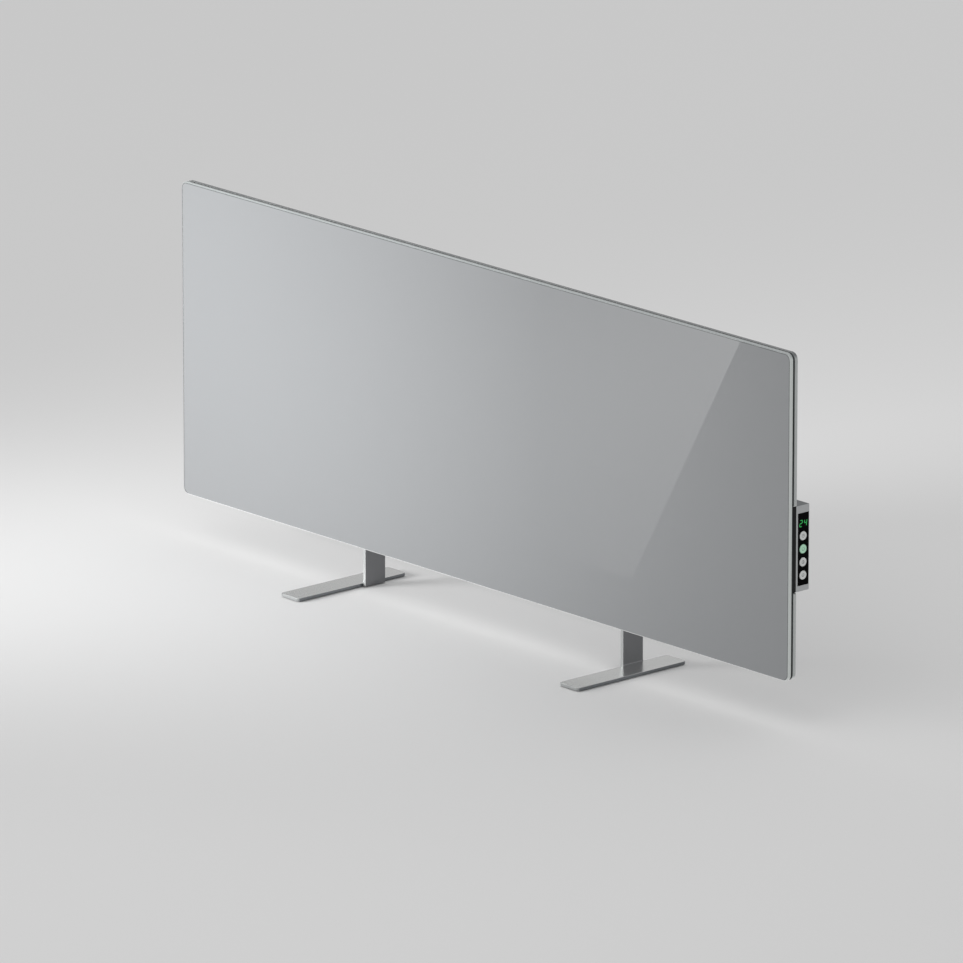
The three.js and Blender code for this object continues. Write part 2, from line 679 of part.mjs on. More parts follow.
function buildHousing() {
  const shell = loft(boxOutline, [[0, 0], ...roundedEdge(BOX_DEPTH, BOX_EDGE_ROUND, 1)], 'y');
  const hollow = extrude(boxOutline(HOUSING_WALL), -1, housingRearInside, 'y');
  const window = extrude(
    rectangle(windowFront, windowBottom, windowRear, windowTop),
    -2 * HOUSING_WALL,
    HOUSING_WALL,
    'x',
  );
  const glandHole = rod(GLAND_THREAD_RADIUS + CLEARANCE, -1, 2 * HOUSING_WALL, 'z', [glandX, glandY, 0]);
  const sensorHole = rod(SENSOR_RADIUS + CLEARANCE, -1, 2 * HOUSING_WALL, 'z', [sensorX, glandY, 0], 16);
  const screwHoles = posts.map(([x, z]) => rod(
    housingScrew.shankRadius + CLEARANCE,
    housingRearInside - 1,
    BOX_DEPTH + 1,
    'y',
    [x, 0, z],
    SMALL_ROUND_STEPS,
  ));
  const housing = cut(shell, hollow, window, glandHole, sensorHole, ...screwHoles);
  addPiece(controlBox, 'control_housing', HOUSING_METAL, housing);
  posts.forEach(([x, z], index) => {
    const { headRadius, headHeight, shankRadius, length } = housingScrew;
    const screw = addPiece(
      controlBox,
      `housing_screw_${index + 1}`,
      ZINC,
      screwGeometry(headRadius, headHeight, shankRadius, length),
    );
    screw.position.set(x, BOX_DEPTH, z);
  });
}

// ---- Fascia, display and push buttons ----
const buttonNames = ['timer', 'power', 'warmer', 'cooler'];
const firstButton = windowTop - FIRST_BUTTON_DROP;
const lastButton = windowBottom + LAST_BUTTON_RISE;
const buttonPitch = (firstButton - lastButton) / (buttonNames.length - 1);
const buttonHeights = buttonNames.map((name, index) => firstButton - index * buttonPitch);
const flangeFront = windowFront - FASCIA_LAP;
const flangeRear = windowRear - FIT;
const flangeBottom = HOUSING_WALL + FLANGE_GAP;
const flangeTop = BOX_HEIGHT - HOUSING_WALL - FLANGE_GAP;
const pillarHeights = [(flangeBottom + windowBottom) / 2, (windowTop + flangeTop) / 2];

function buildFascia() {
  const buttonHoles = buttonHeights.map((height) =>
    circle(BUTTON_RADIUS + CLEARANCE, windowMiddle, height, ROUND_STEPS));
  const face = extrude(
    rectangle(windowFront + FIT, windowBottom + FIT, windowRear - FIT, windowTop - FIT),
    fasciaBack,
    -FASCIA_RECESS,
    'x',
    buttonHoles,
  );
  const flange = extrude(
    rectangle(flangeFront, flangeBottom, flangeRear, flangeTop),
    fasciaBack,
    -HOUSING_WALL,
    'x',
    buttonHoles,
  );
  const pillars = pillarHeights.map((height) =>
    rod(PILLAR_RADIUS, boardFront, fasciaBack + FASCIA_FLANGE / 2, 'x', [0, windowMiddle, height], 16));
  const pillarHoles = pillarHeights.map((height) => rod(
    boardScrew.shankRadius + CLEARANCE,
    boardFront - 1,
    boardBack + boardScrew.length + CLEARANCE,
    'x',
    [0, windowMiddle, height],
    SMALL_ROUND_STEPS,
  ));
  const fascia = cut(join(face, flange, ...pillars), ...pillarHoles);
  addPiece(controlBox, 'control_fascia', GLOSS_BLACK, fascia);
}

// One bar of a seven-segment digit, pointed at both ends, drawn in y and z.
function segmentOutline(middleY, middleZ, length, upright) {
  const half = length / 2;
  const tip = SEGMENT_WIDTH / 2;
  const bar = [[-half, 0], [-half + tip, -tip], [half - tip, -tip], [half, 0], [half - tip, tip], [-half + tip, tip]];
  return bar.map(([run, rise]) => {
    const [y, z] = upright ? [-rise, run] : [run, rise];
    return new THREE.Vector2(middleY + y, middleZ + z);
  });
}

// The seven bars of one digit: three level ones and four upright ones.
function digitOutlines(middleY) {
  const width = DIGIT_WIDTH - SEGMENT_WIDTH;
  const reach = (DIGIT_HEIGHT - SEGMENT_WIDTH) / 2;
  const level = [-1, 0, 1].map((row) => segmentOutline(middleY, row * reach, width - 0.2, false));
  const uprights = [-1, 1].flatMap((row) => [-1, 1].map((column) =>
    segmentOutline(middleY + (column * width) / 2, (row * reach) / 2, reach - 0.2, true)));
  return [...level, ...uprights];
}

function buildDisplay() {
  const middle = windowTop - DISPLAY_DROP;
  const front = fasciaBack - CLEARANCE;
  const halfWidth = DISPLAY_WIDTH / 2;
  const block = bevelledBlock(
    windowMiddle - halfWidth,
    middle - DISPLAY_HEIGHT / 2,
    windowMiddle + halfWidth,
    middle + DISPLAY_HEIGHT / 2,
    0,
    boardFront,
    front,
    FOOT_EDGE_ROUND,
    'x',
  );
  const bars = [-1, 1].flatMap((side) => digitOutlines((side * DIGIT_PITCH) / 2)).map((outline) => {
    const slanted = outline.map(({ x, y }) => new THREE.Vector2(windowMiddle + x + DIGIT_SLANT * y, middle + y));
    return extrude(slanted, front - SEGMENT_DEPTH, front + 1, 'x');
  });
  addPiece(controlBox, 'display_module', SWITCH_BLACK, cut(block, ...bars));
}

// A push button: a cap with a rounded rim, the collar that keeps it behind the fascia, and its stem.
function buttonProfile() {
  const face = BUTTON_PROUD;
  const rim = roundedEdge(face, FOOT_EDGE_ROUND, 1).map(([place, inset]) => [BUTTON_RADIUS - inset, place]);
  return [
    [0, stemEnd],
    [STEM_RADIUS, stemEnd],
    [STEM_RADIUS, collarBack],
    [COLLAR_RADIUS, collarBack],
    [COLLAR_RADIUS, collarFront],
    [BUTTON_RADIUS, collarFront],
    ...rim,
    [0, face],
  ];
}

function buildButtons() {
  const switchHalf = SWITCH_SIZE / 2;
  buttonNames.forEach((name, index) => {
    const material = name === 'power' ? LIT_BUTTON_PLASTIC : BUTTON_PLASTIC;
    const button = addPiece(controlBox, `button_${name}`, material, turned(buttonProfile(), 'x'));
    button.position.set(0, windowMiddle, buttonHeights[index]);

    const plunger = rod(PLUNGER_RADIUS, switchFront - PLUNGER_DEPTH, stemEnd, 'x', [0, 0, 0], SMALL_ROUND_STEPS);
    addPiece(controlBox, `switch_plunger_${name}`, PLUNGER_GREY, plunger).position.copy(button.position);

    const body = bevelledBlock(
      -switchHalf,
      -switchHalf,
      switchHalf,
      switchHalf,
      CLEARANCE,
      boardFront,
      switchFront,
      CLEARANCE,
      'x',
    );
    const bore = rod(
      PLUNGER_RADIUS + CLEARANCE,
      switchFront - PLUNGER_DEPTH - BUTTON_TRAVEL - CLEARANCE,
      switchFront + 1,
      'x',
      [0, 0, 0],
      SMALL_ROUND_STEPS,
    );
    addPiece(controlBox, `tact_switch_${name}`, SWITCH_BLACK, cut(body, bore)).position.copy(button.position);
  });
}

function buildControlBoard() {
  const board = extrude(
    rectangle(flangeFront + CLEARANCE, flangeBottom + CLEARANCE, flangeRear - CLEARANCE, flangeTop - CLEARANCE),
    boardBack,
    boardFront,
    'x',
    pillarHeights.map((height) => circle(boardScrew.shankRadius + CLEARANCE, windowMiddle, height)),
  );
  addPiece(controlBox, 'control_board', CIRCUIT_BOARD, board);
  pillarHeights.forEach((height, index) => {
    const { headRadius, headHeight, shankRadius, length } = boardScrew;
    const geometry = screwGeometry(headRadius, headHeight, shankRadius, length).rotateZ(Math.PI / 2);
    const name = `control_board_screw_${index === 0 ? 'lower' : 'upper'}`;
    addPiece(controlBox, name, ZINC, geometry).position.set(boardBack, windowMiddle, height);
  });
}

// ---- Power board and what stands on it ----
function buildPowerBoard() {
  const holes = screwedStandoffs.map(([x, z]) => circle(boardScrew.shankRadius + CLEARANCE, x, z));
  addPiece(controlBox, 'power_board', CIRCUIT_BOARD, extrude(
    rectangle(powerBoardLeft, powerBoardBottom, powerBoardRight, powerBoardTop, 1.5),
    powerBoardFront,
    powerBoardRear,
    'y',
    holes,
  ));
  screwedStandoffs.forEach(([x, z], index) => {
    const { headRadius, headHeight, shankRadius, length } = boardScrew;
    const name = `power_board_screw_${index === 0 ? 'lower' : 'upper'}`;
    const screw = addPiece(controlBox, name, ZINC, screwGeometry(headRadius, headHeight, shankRadius, length));
    screw.position.set(x, powerBoardRear, z);
  });
}

// Where a part stands on the power board, from the edges that its dimensions name.
const boardX = ({ left, right, width = 0 }) =>
  (left === undefined ? powerBoardWidth - right - width : left) + powerBoardLeft;
const boardZ = ({ bottom, top, height = 0 }) =>
  (bottom === undefined ? powerBoardHeight - top - height : bottom) + powerBoardBottom;

// A block that stands on the power board.
function onBoard(part) {
  const { width, height, depth = tallPartDepth, bevel = CLEARANCE } = part;
  const x = boardX(part);
  const z = boardZ(part);
  return bevelledBlock(x, z, x + width, z + height, bevel, powerBoardRear, powerBoardRear + depth, bevel, 'y');
}

// A core with two limbs above and below, and the winding between them.
function buildTransformer() {
  const { left, width, height, limb, bobbin } = transformer;
  const bottom = boardZ(transformer) - powerBoardBottom;
  const between = { left: left - 1, bottom: bottom + limb, width: width + 2, height: height - 2 * limb };
  const gap = onBoard({ ...between, depth: tallPartDepth + 1 });
  const winding = onBoard({
    left: left + bobbin,
    bottom: bottom + limb / 2,
    width: width - 2 * bobbin,
    height: height - limb,
    depth: tallPartDepth - limb / 2,
    bevel: bobbin,
  });
  addPiece(controlBox, 'transformer', FERRITE, join(cut(onBoard(transformer), gap), winding));
}

function buildCapacitor() {
  const { radius, headroom } = capacitor;
  const height = tallPartDepth - headroom;
  const groove = 0.4;
  const can = turned([
    [0, 0],
    [radius, 0],
    [radius, 1],
    [radius - groove, 1 + groove],
    [radius, 1 + 2 * groove],
    [radius, height - 2 * groove],
    [radius - 2 * groove, height],
    [0, height],
  ], 'y', ROUND_STEPS);
  addPiece(controlBox, 'smoothing_capacitor', CAPACITOR_SLEEVE, can)
    .position.set(boardX(capacitor), powerBoardRear, boardZ(capacitor));
}

function buildFuse() {
  const { right, bottom, length, radius, clip } = fuse;
  const start = boardZ(fuse);
  const axis = [boardX(fuse), powerBoardRear + radius + 1, 0];
  const tube = rod(radius, start, start + length, 'z', axis, SMALL_ROUND_STEPS);
  const overhang = 0.5;
  const clips = [overhang, length - clip - overhang].map((offset) => onBoard({
    right: right - radius - overhang,
    bottom: bottom + offset,
    width: 2 * (radius + overhang),
    height: clip,
    depth: radius + 2,
  }));
  addPiece(controlBox, 'fuse', FUSE_CERAMIC, join(tube, ...clips));
}

// The terminal block stands over the cord gland, with a wire mouth and a screw well for each way.
function buildTerminalBlock() {
  const { bottom, ways, pitch, height, depth, wall } = terminals;
  const width = ways * pitch;
  const left = glandX - width / 2 - powerBoardLeft;
  const block = onBoard({ left, bottom, width, height, depth });
  const mouth = pitch / 2 - wall;
  const mouthFloor = powerBoardRear + wall;
  const base = powerBoardBottom + bottom;
  const cuts = [];
  for (let way = 0; way < ways; way += 1) {
    const middle = powerBoardLeft + left + (way + 0.5) * pitch;
    const opening = rectangle(middle - mouth, mouthFloor, middle + mouth, mouthFloor + 2 * mouth);
    const well = [middle, 0, base + height * 0.45];
    cuts.push(extrude(opening, base - 1, base + height * 0.6, 'z'));
    cuts.push(rod(mouth, mouthFloor + mouth, powerBoardRear + depth + 1, 'y', well, SMALL_ROUND_STEPS));
  }
  addPiece(controlBox, 'terminal_block', TERMINAL_GREEN, cut(block, ...cuts));
}

function buildPowerParts() {
  addPiece(controlBox, 'power_relay', RELAY_BLUE, onBoard(relay));
  addPiece(controlBox, 'tilt_switch', BLACK_PLASTIC, onBoard(tiltSwitch));
  buildTransformer();
  buildCapacitor();
  buildFuse();
  buildTerminalBlock();
}

// ---- Cord gland, sensors and heater leads ----
function buildGland() {
  const wallInside = HOUSING_WALL;
  const threadTop = wallInside + GLAND_NUT_HEIGHT + 1;
  const gland = turned([
    [GLAND_BORE_RADIUS, -GLAND_LENGTH],
    [GLAND_BODY_RADIUS - 2, -GLAND_LENGTH],
    [GLAND_BODY_RADIUS - 0.6, -GLAND_LENGTH + 2],
    [GLAND_BODY_RADIUS, -GLAND_LENGTH + 4],
    [GLAND_BODY_RADIUS, -3],
    [GLAND_FLANGE_RADIUS, -2.5],
    [GLAND_FLANGE_RADIUS, 0],
    [GLAND_THREAD_RADIUS, 0],
    [GLAND_THREAD_RADIUS, threadTop],
    [GLAND_BORE_RADIUS, threadTop],
    [GLAND_BORE_RADIUS, -GLAND_LENGTH],
  ], 'z', ROUND_STEPS);
  const flutes = [];
  for (let flute = 0; flute < GLAND_FLUTES; flute += 1) {
    const angle = (flute / GLAND_FLUTES) * 2 * Math.PI;
    const reach = GLAND_BODY_RADIUS + 0.5;
    const centre = [reach * Math.cos(angle), reach * Math.sin(angle), 0];
    flutes.push(rod(1, -GLAND_LENGTH - 1, -3.5, 'z', centre, 6));
  }
  addPiece(controlBox, 'cord_gland', BLACK_PLASTIC, cut(gland, ...flutes)).position.set(glandX, glandY, 0);

  const nut = extrude(
    circle(GLAND_NUT_RADIUS, 0, 0, 6),
    wallInside,
    wallInside + GLAND_NUT_HEIGHT,
    'z',
    [circle(GLAND_THREAD_RADIUS + CLEARANCE, 0, 0, ROUND_STEPS)],
  );
  addPiece(controlBox, 'gland_nut', BLACK_PLASTIC, nut).position.set(glandX, glandY, 0);
}

function buildSensors() {
  const bead = turned([
    [0, -1],
    [SENSOR_RADIUS * 0.6, -0.8],
    [SENSOR_RADIUS, 0],
    [SENSOR_RADIUS, HOUSING_WALL],
    [SENSOR_RADIUS + 1, HOUSING_WALL],
    [SENSOR_RADIUS + 1, HOUSING_WALL + 1],
    [SENSOR_RADIUS, HOUSING_WALL + 1],
    [SENSOR_RADIUS, HOUSING_WALL + 5],
    [0, HOUSING_WALL + 5],
  ], 'z', SMALL_ROUND_STEPS);
  addPiece(controlBox, 'room_temperature_sensor', BLACK_PLASTIC, bead).position.set(sensorX, glandY, 0);

  const back = filmBack - rearFace;
  addPiece(controlBox, 'overheat_cutout', BLACK_PLASTIC, loft(cutoutOutline, [
    [back, 0],
    [back + cutout.thickness - CLEARANCE, 0],
    [back + cutout.thickness, CLEARANCE],
  ], 'y'));
}

// Each heater lead runs from its busbar through the film, the mat and the base to the power board.
function buildLeads() {
  const start = elementBack - rearFace;
  const names = ['heater_lead_lower', 'heater_lead_upper'];
  leadHeights.forEach((height, index) => {
    const sway = index === 0 ? 1.5 : -1.5;
    const route = new THREE.CatmullRomCurve3([
      new THREE.Vector3(leadX, start, height),
      new THREE.Vector3(leadX, baseFront, height),
      new THREE.Vector3(leadX, baseFloorTop, height),
      new THREE.Vector3(leadX + sway, baseFloorTop + STANDOFF_HEIGHT / 2, height + sway),
      new THREE.Vector3(leadX + sway, powerBoardFront, height + sway),
    ]);
    const section = new THREE.Shape(circle(LEAD_RADIUS, 0, 0, 8));
    const lead = new THREE.ExtrudeGeometry(section, { steps: 10, extrudePath: route });
    addPiece(controlBox, names[index], LEAD_SLEEVE, lead);
  });
}

buildPanes();
buildHeatingLayers();
buildBusbars();
buildLeg('left', -1);
buildLeg('right', 1);
buildBase();
buildHousing();
buildFascia();
buildDisplay();
buildButtons();
buildControlBoard();
buildPowerBoard();
buildPowerParts();
buildGland();
buildSensors();
buildLeads();

export default heater;
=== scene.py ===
# %% [markdown]
# # A glass panel heater on two feet
# The heater is two panes of glass with a heating film between them, two steel legs, and a control
# box behind its right edge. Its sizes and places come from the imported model, which stays as it is.
# This lesson dresses that model: finer pieces stand for the plain ones that show, and every
# surface gets a finish that is made of nodes. All lengths are metres, and the front faces -Y.

# %% Load the frame
import math
import bmesh
import bpy
from mathutils import Matrix, Vector


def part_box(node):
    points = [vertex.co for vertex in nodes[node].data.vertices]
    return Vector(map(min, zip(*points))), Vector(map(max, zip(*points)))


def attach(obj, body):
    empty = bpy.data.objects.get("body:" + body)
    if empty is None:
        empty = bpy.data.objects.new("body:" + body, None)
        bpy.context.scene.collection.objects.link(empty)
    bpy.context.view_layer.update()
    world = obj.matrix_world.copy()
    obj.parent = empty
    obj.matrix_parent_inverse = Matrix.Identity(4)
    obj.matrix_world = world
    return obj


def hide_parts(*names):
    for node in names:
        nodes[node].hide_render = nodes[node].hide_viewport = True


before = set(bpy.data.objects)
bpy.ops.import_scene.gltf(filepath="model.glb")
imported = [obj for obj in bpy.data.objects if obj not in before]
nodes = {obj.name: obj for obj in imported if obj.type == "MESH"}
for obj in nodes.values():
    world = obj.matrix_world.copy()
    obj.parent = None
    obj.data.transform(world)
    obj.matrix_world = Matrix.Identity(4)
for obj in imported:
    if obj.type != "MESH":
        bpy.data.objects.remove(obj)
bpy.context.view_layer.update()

MM = 0.001

# %% [markdown]
# ## Camera
# A product picture like this one is taken from far away through a very long lens, so that level
# edges stay almost parallel. The camera stands to the right of the heater and a little above it.
# It is placed by two angles and a distance from a point a hand's span above the floor.

# %% Camera
CAMERA_AZIMUTH = math.radians(48.39)
CAMERA_ELEVATION = math.radians(15.71)
CAMERA_DISTANCE = 14.854
CAMERA_LENS = 458.96
AIM_RISE = 0.1802  # from the origin to the point that is aimed at, along the picture's upright


def camera_axes(azimuth, elevation):
    """The directions to the right, up and back towards the camera, as the camera sees them."""
    right = Vector((math.cos(azimuth), math.sin(azimuth), 0))
    back = Vector((
        math.sin(azimuth) * math.cos(elevation),
        -math.cos(azimuth) * math.cos(elevation),
        math.sin(elevation),
    ))
    return right, back.cross(right), back


camera = bpy.data.objects.new("camera", bpy.data.cameras.new("camera"))
bpy.context.scene.collection.objects.link(camera)
camera.data.lens = CAMERA_LENS
camera.data.clip_end = 100
camera_right, camera_up, camera_back = camera_axes(CAMERA_AZIMUTH, CAMERA_ELEVATION)
camera.rotation_euler = Matrix((camera_right, camera_up, camera_back)).transposed().to_euler()
camera.location = camera_up * AIM_RISE + camera_back * CAMERA_DISTANCE
bpy.context.scene.camera = camera
print("camera stands at", [round(place, 2) for place in camera.location])

# %% [markdown]
# ## Nodes by hand
# Every finish below is a small net of shader nodes. These helpers add a node, set its sockets and
# join them, so that a finish reads from top to bottom. A group is a net with named inputs and
# outputs of its own: it is built once, and each material places it with other values.

# %% Helpers for shader nodes
def add_node(tree, kind, **settings):
    """Adds a node and sets its properties."""
    node = tree.nodes.new("ShaderNode" + kind)
    for name, value in settings.items():
        setattr(node, name, value)
    return node


def put(tree, socket, value):
    """Links an input to another node's output, or writes a plain value into it."""
    if isinstance(value, bpy.types.NodeSocket):
        tree.links.new(value, socket)
    else:
        socket.default_value = value


def feed(tree, node, **values):
    """Puts values into inputs by name, with _ for a space."""
    for name, value in values.items():
        put(tree, node.inputs[name.replace("_", " ")], value)
    return node


def add_group(tree, group, **values):
    """Places a node group in a material and puts values into its inputs."""
    return feed(tree, add_node(tree, "Group", node_tree=group), **values)


def remap(tree, value, **ranges):
    """Maps a value from one range to another. A range that isn't given is 0 to 1."""
    return feed(tree, add_node(tree, "MapRange"), Value=value, **ranges).outputs[0]


def new_group(title, inputs, outputs):
    """An empty node group. Inputs are (kind, name, value) and outputs (kind, name)."""
    group = bpy.data.node_groups.new(title, "ShaderNodeTree")
    for kind, name, value in inputs:
        socket = group.interface.new_socket(name, in_out="INPUT", socket_type="NodeSocket" + kind)
        socket.default_value = value
    for kind, name in outputs:
        group.interface.new_socket(name, in_out="OUTPUT", socket_type="NodeSocket" + kind)
    return group, group.nodes.new("NodeGroupInput"), group.nodes.new("NodeGroupOutput")


def calculate(tree, operation, first, second):
    """One step of arithmetic on values or sockets."""
    node = add_node(tree, "Math", operation=operation)
    for socket, value in zip(node.inputs, (first, second)):
        put(tree, socket, value)
    return node.outputs[0]


def calculate_vector(tree, operation, *values):
    """One step of arithmetic on vectors. Lengths, distances and dot products give a plain value."""
    node = add_node(tree, "VectorMath", operation=operation)
    for socket, value in zip(node.inputs, values):
        put(tree, socket, value)
    is_value = operation in ("LENGTH", "DISTANCE", "DOT_PRODUCT")
    return node.outputs["Value" if is_value else "Vector"]


def own_place(tree):
    """The place of a point in the piece's own axes, which here are the axes of the whole heater."""
    return add_node(tree, "TexCoord").outputs["Object"]


def split(tree, vector):
    """The X, Y and Z of a vector."""
    return feed(tree, add_node(tree, "SeparateXYZ"), Vector=vector).outputs


def mix_colours(tree, share, first, second):
    """Blends two colours by a share."""
    node = add_node(tree, "Mix", data_type="RGBA")
    colour_inputs = [socket for socket in node.inputs if socket.type == "RGBA"]
    for socket, value in zip([node.inputs[0], *colour_inputs], (share, first, second)):
        put(tree, socket, value)
    return next(socket for socket in node.outputs if socket.type == "RGBA")


print("helpers for nodes are ready")

# %% [markdown]
# ## Grain
# No moulded, blasted or painted surface is quite even. The grain group takes a colour and a darker
# shade of it, and lays a cloudy noise between them that a finer one breaks up. The finer noise also
# loosens the roughness and gives the height of the texture. Stretch pulls the pattern out along one
# axis, which turns the grain into the lines of a brushed metal.

# %% Shader group: grain
def build_grain():
    group, given, result = new_group(
        "grain",
        [
            ("Color", "Color", (0.5, 0.5, 0.5, 1)),
            ("Color", "Shade", (0.4, 0.4, 0.4, 1)),
            ("Float", "Roughness", 0.5),
            ("Float", "Spread", 0.1),
            ("Float", "Cloud Scale", 40.0),
            ("Float", "Grain Scale", 2500.0),
            ("Vector", "Stretch", (1, 1, 1)),
        ],
        [("Color", "Color"), ("Float", "Roughness"), ("Float", "Height")],
    )
    stretched = calculate_vector(group, "MULTIPLY", own_place(group), given.outputs["Stretch"])
    cloud = add_node(group, "TexNoise")
    feed(group, cloud, Vector=stretched, Scale=given.outputs["Cloud Scale"], Detail=4.0)
    fine = add_node(group, "TexNoise")
    feed(group, fine, Vector=stretched, Scale=given.outputs["Grain Scale"], Detail=2.0)
    both = calculate(group, "MULTIPLY", cloud.outputs[0], fine.outputs[0])
    share = calculate(group, "MULTIPLY", both, 2.0)
    colour = mix_colours(group, share, given.outputs["Color"], given.outputs["Shade"])
    loosened = calculate(group, "SUBTRACT", fine.outputs[0], 0.5)
    swing = calculate(group, "MULTIPLY", loosened, given.outputs["Spread"])
    roughness = calculate(group, "ADD", swing, given.outputs["Roughness"])
    feed(group, result, Color=colour, Roughness=roughness, Height=fine.outputs[0])
    return group


GRAIN = build_grain()
print("group", GRAIN.name, "has", len(GRAIN.nodes), "nodes")

# %% [markdown]
# ## Handling marks
# Glass and black gloss show what touches them: a film of fine wipe marks and a few specks of dust.
# Both are almost nothing, but without them a gloss surface looks like a hole. The group gives a
# mask of soft wiping lines for the roughness, and a mask of specks for the colour.

# %% Shader group: handling marks
WIPE_ANGLE = math.radians(24)
WIPE_STRETCH = (1, 1, 9)


def build_handling():
    group, given, result = new_group(
        "handling",
        [("Float", "Wipe Scale", 14.0), ("Float", "Speck Scale", 900.0), ("Float", "Speck Share", 0.1)],
        [("Float", "Wiped"), ("Float", "Specks")],
    )
    place = own_place(group)
    turned = feed(group, add_node(group, "Mapping"), Vector=place, Rotation=(0, WIPE_ANGLE, 0))
    drawn = calculate_vector(group, "MULTIPLY", turned.outputs[0], WIPE_STRETCH)
    wipe = add_node(group, "TexNoise")
    feed(group, wipe, Vector=drawn, Scale=given.outputs["Wipe Scale"], Detail=6.0, Roughness=0.6)
    cells = add_node(group, "TexVoronoi")
    feed(group, cells, Vector=place, Scale=given.outputs["Speck Scale"])
    near = calculate(group, "LESS_THAN", cells.outputs["Distance"], given.outputs["Speck Share"])
    patches = feed(group, add_node(group, "TexNoise"), Vector=place, Scale=35.0)
    thin = calculate(group, "GREATER_THAN", patches.outputs[0], 0.62)
    feed(group, result, Wiped=wipe.outputs[0], Specks=calculate(group, "MULTIPLY", near, thin))
    return group


HANDLING = build_handling()
print("group", HANDLING.name, "has", len(HANDLING.nodes), "nodes")

# %% [markdown]
# ## Which way a face looks
# Some finishes change with the side of the piece, and these changes are painted light and shade:
# the sides and front edges of the legs, the outer side of the control box, and the top and the
# lower edge of a pane get colours of their own for how light falls on them. The facing group
# compares the true normal with a direction and gives 1 where they agree, 0 where they don't.

# %% Shader group: facing
def build_facing():
    group, given, result = new_group(
        "facing",
        [("Vector", "Direction", (0, 0, 1)), ("Float", "From", 0.5), ("Float", "To", 0.8)],
        [("Float", "Share")],
    )
    normal = add_node(group, "NewGeometry").outputs["True Normal"]
    agreement = calculate_vector(group, "DOT_PRODUCT", normal, given.outputs["Direction"])
    share = remap(group, agreement, From_Min=given.outputs["From"], From_Max=given.outputs["To"])
    feed(group, result, Share=share)
    return group


FACING = build_facing()


def facing(tree, direction, start=0.5, end=0.8):
    """The share of a surface that looks in a direction."""
    return add_group(tree, FACING, Direction=direction, From=start, To=end).outputs["Share"]


print("group", FACING.name, "has", len(FACING.nodes), "nodes")

# %% [markdown]
# ## How far from the outline
# A narrow dark line is painted on each pane just inside its bevel, as a painted shade. To draw that
# line, a material has to know how far a point is from the outline, which is a rectangle with round
# corners. The distance to such a shape is a short sum: the point is folded into one quarter, and the
# corner's middle is taken off.

# %% Shader group: distance from the outline
def build_outline():
    group, given, result = new_group(
        "outline",
        [("Vector", "Centre", (0, 0, 0)), ("Vector", "Reach", (1, 1, 1)), ("Float", "Corner", 0.01)],
        [("Float", "Inside")],
    )
    centred = calculate_vector(group, "SUBTRACT", own_place(group), given.outputs["Centre"])
    folded = calculate_vector(group, "ABSOLUTE", centred)
    from_corner = calculate_vector(group, "SUBTRACT", folded, given.outputs["Reach"])
    outer = calculate_vector(group, "MAXIMUM", from_corner, (0, 0, 0))
    parts = split(group, from_corner)
    larger = calculate(group, "MAXIMUM", parts["X"], parts["Z"])
    inner = calculate(group, "MINIMUM", larger, 0.0)
    past = calculate(group, "ADD", calculate_vector(group, "LENGTH", outer), inner)
    feed(group, result, Inside=calculate(group, "SUBTRACT", given.outputs["Corner"], past))
    return group


OUTLINE = build_outline()
print("group", OUTLINE.name, "has", len(OUTLINE.nodes), "nodes")

# %% [markdown]
# ## A finish from grain
# Most pieces share one recipe: the grain group feeds the colour, the roughness and a bump of a
# real height, and the shader's own sockets hold what is the same all over the surface. The height
# of the bump is a few hundredths of a millimetre or less, and only the felted mat has more.

# %% Helper: a grained material
def hex_colour(code):
    """A colour written as in a paint chart, as linear light."""
    parts = [int(code[start:start + 2], 16) / 255 for start in (0, 2, 4)]
    return (*[part / 12.92 if part <= 0.04045 else ((part + 0.055) / 1.055) ** 2.4 for part in parts], 1)


def darker(colour, share):
    return (*[part * (1 - share) for part in colour[:3]], 1)


def new_material(name):
    material = bpy.data.materials.new(name)
    material.use_nodes = True
    return material, material.node_tree, material.node_tree.nodes["Principled BSDF"]


def grained(name, code, roughness, shade=0.12, spread=0.12, grain=2500.0, cloud=40.0,
            height=0.02 * MM, stretch=(1, 1, 1), **uniform):
    """A material of the grain group. Extra values go to the shader's sockets of that name."""
    material, tree, shader = new_material(name)
    colour = hex_colour(code)
    texture = add_group(tree, GRAIN, Color=colour, Shade=darker(colour, shade), Roughness=roughness,
                        Spread=spread, Cloud_Scale=cloud, Grain_Scale=grain, Stretch=stretch)
    bump = feed(tree, add_node(tree, "Bump"), Distance=height, Height=texture.outputs["Height"])
    feed(tree, shader, Base_Color=texture.outputs["Color"], Roughness=texture.outputs["Roughness"],
         Normal=bump.outputs[0], **uniform)
    return material


print("a grained material is ready to be called")

# %% [markdown]
# ## Glass with a grey coat behind it
# The panes are opaque: the grey is an enamel fired on the inner side, and clear glass lies over
# it. The enamel gives the colour, and the shader's coat is the polished face of the glass. A narrow
# dark line is painted just inside the bevel, except along the foot of the pane: a painted shade for
# the dark line that the bevel draws. The ground edge is paler, and its colour also carries painted
# light: brightest where it looks down, with a painted shade where it looks up.

# %% Finish: enamelled glass
GLASS_INDEX = 1.52
CORNER_RADIUS = 9 * MM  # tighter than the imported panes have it
POLISHED_BEVEL = 1.2 * MM
# The painted shade line just inside the bevel is this wide.
PAINTED_BEVEL_SHADE_WIDTH = 1.1 * MM


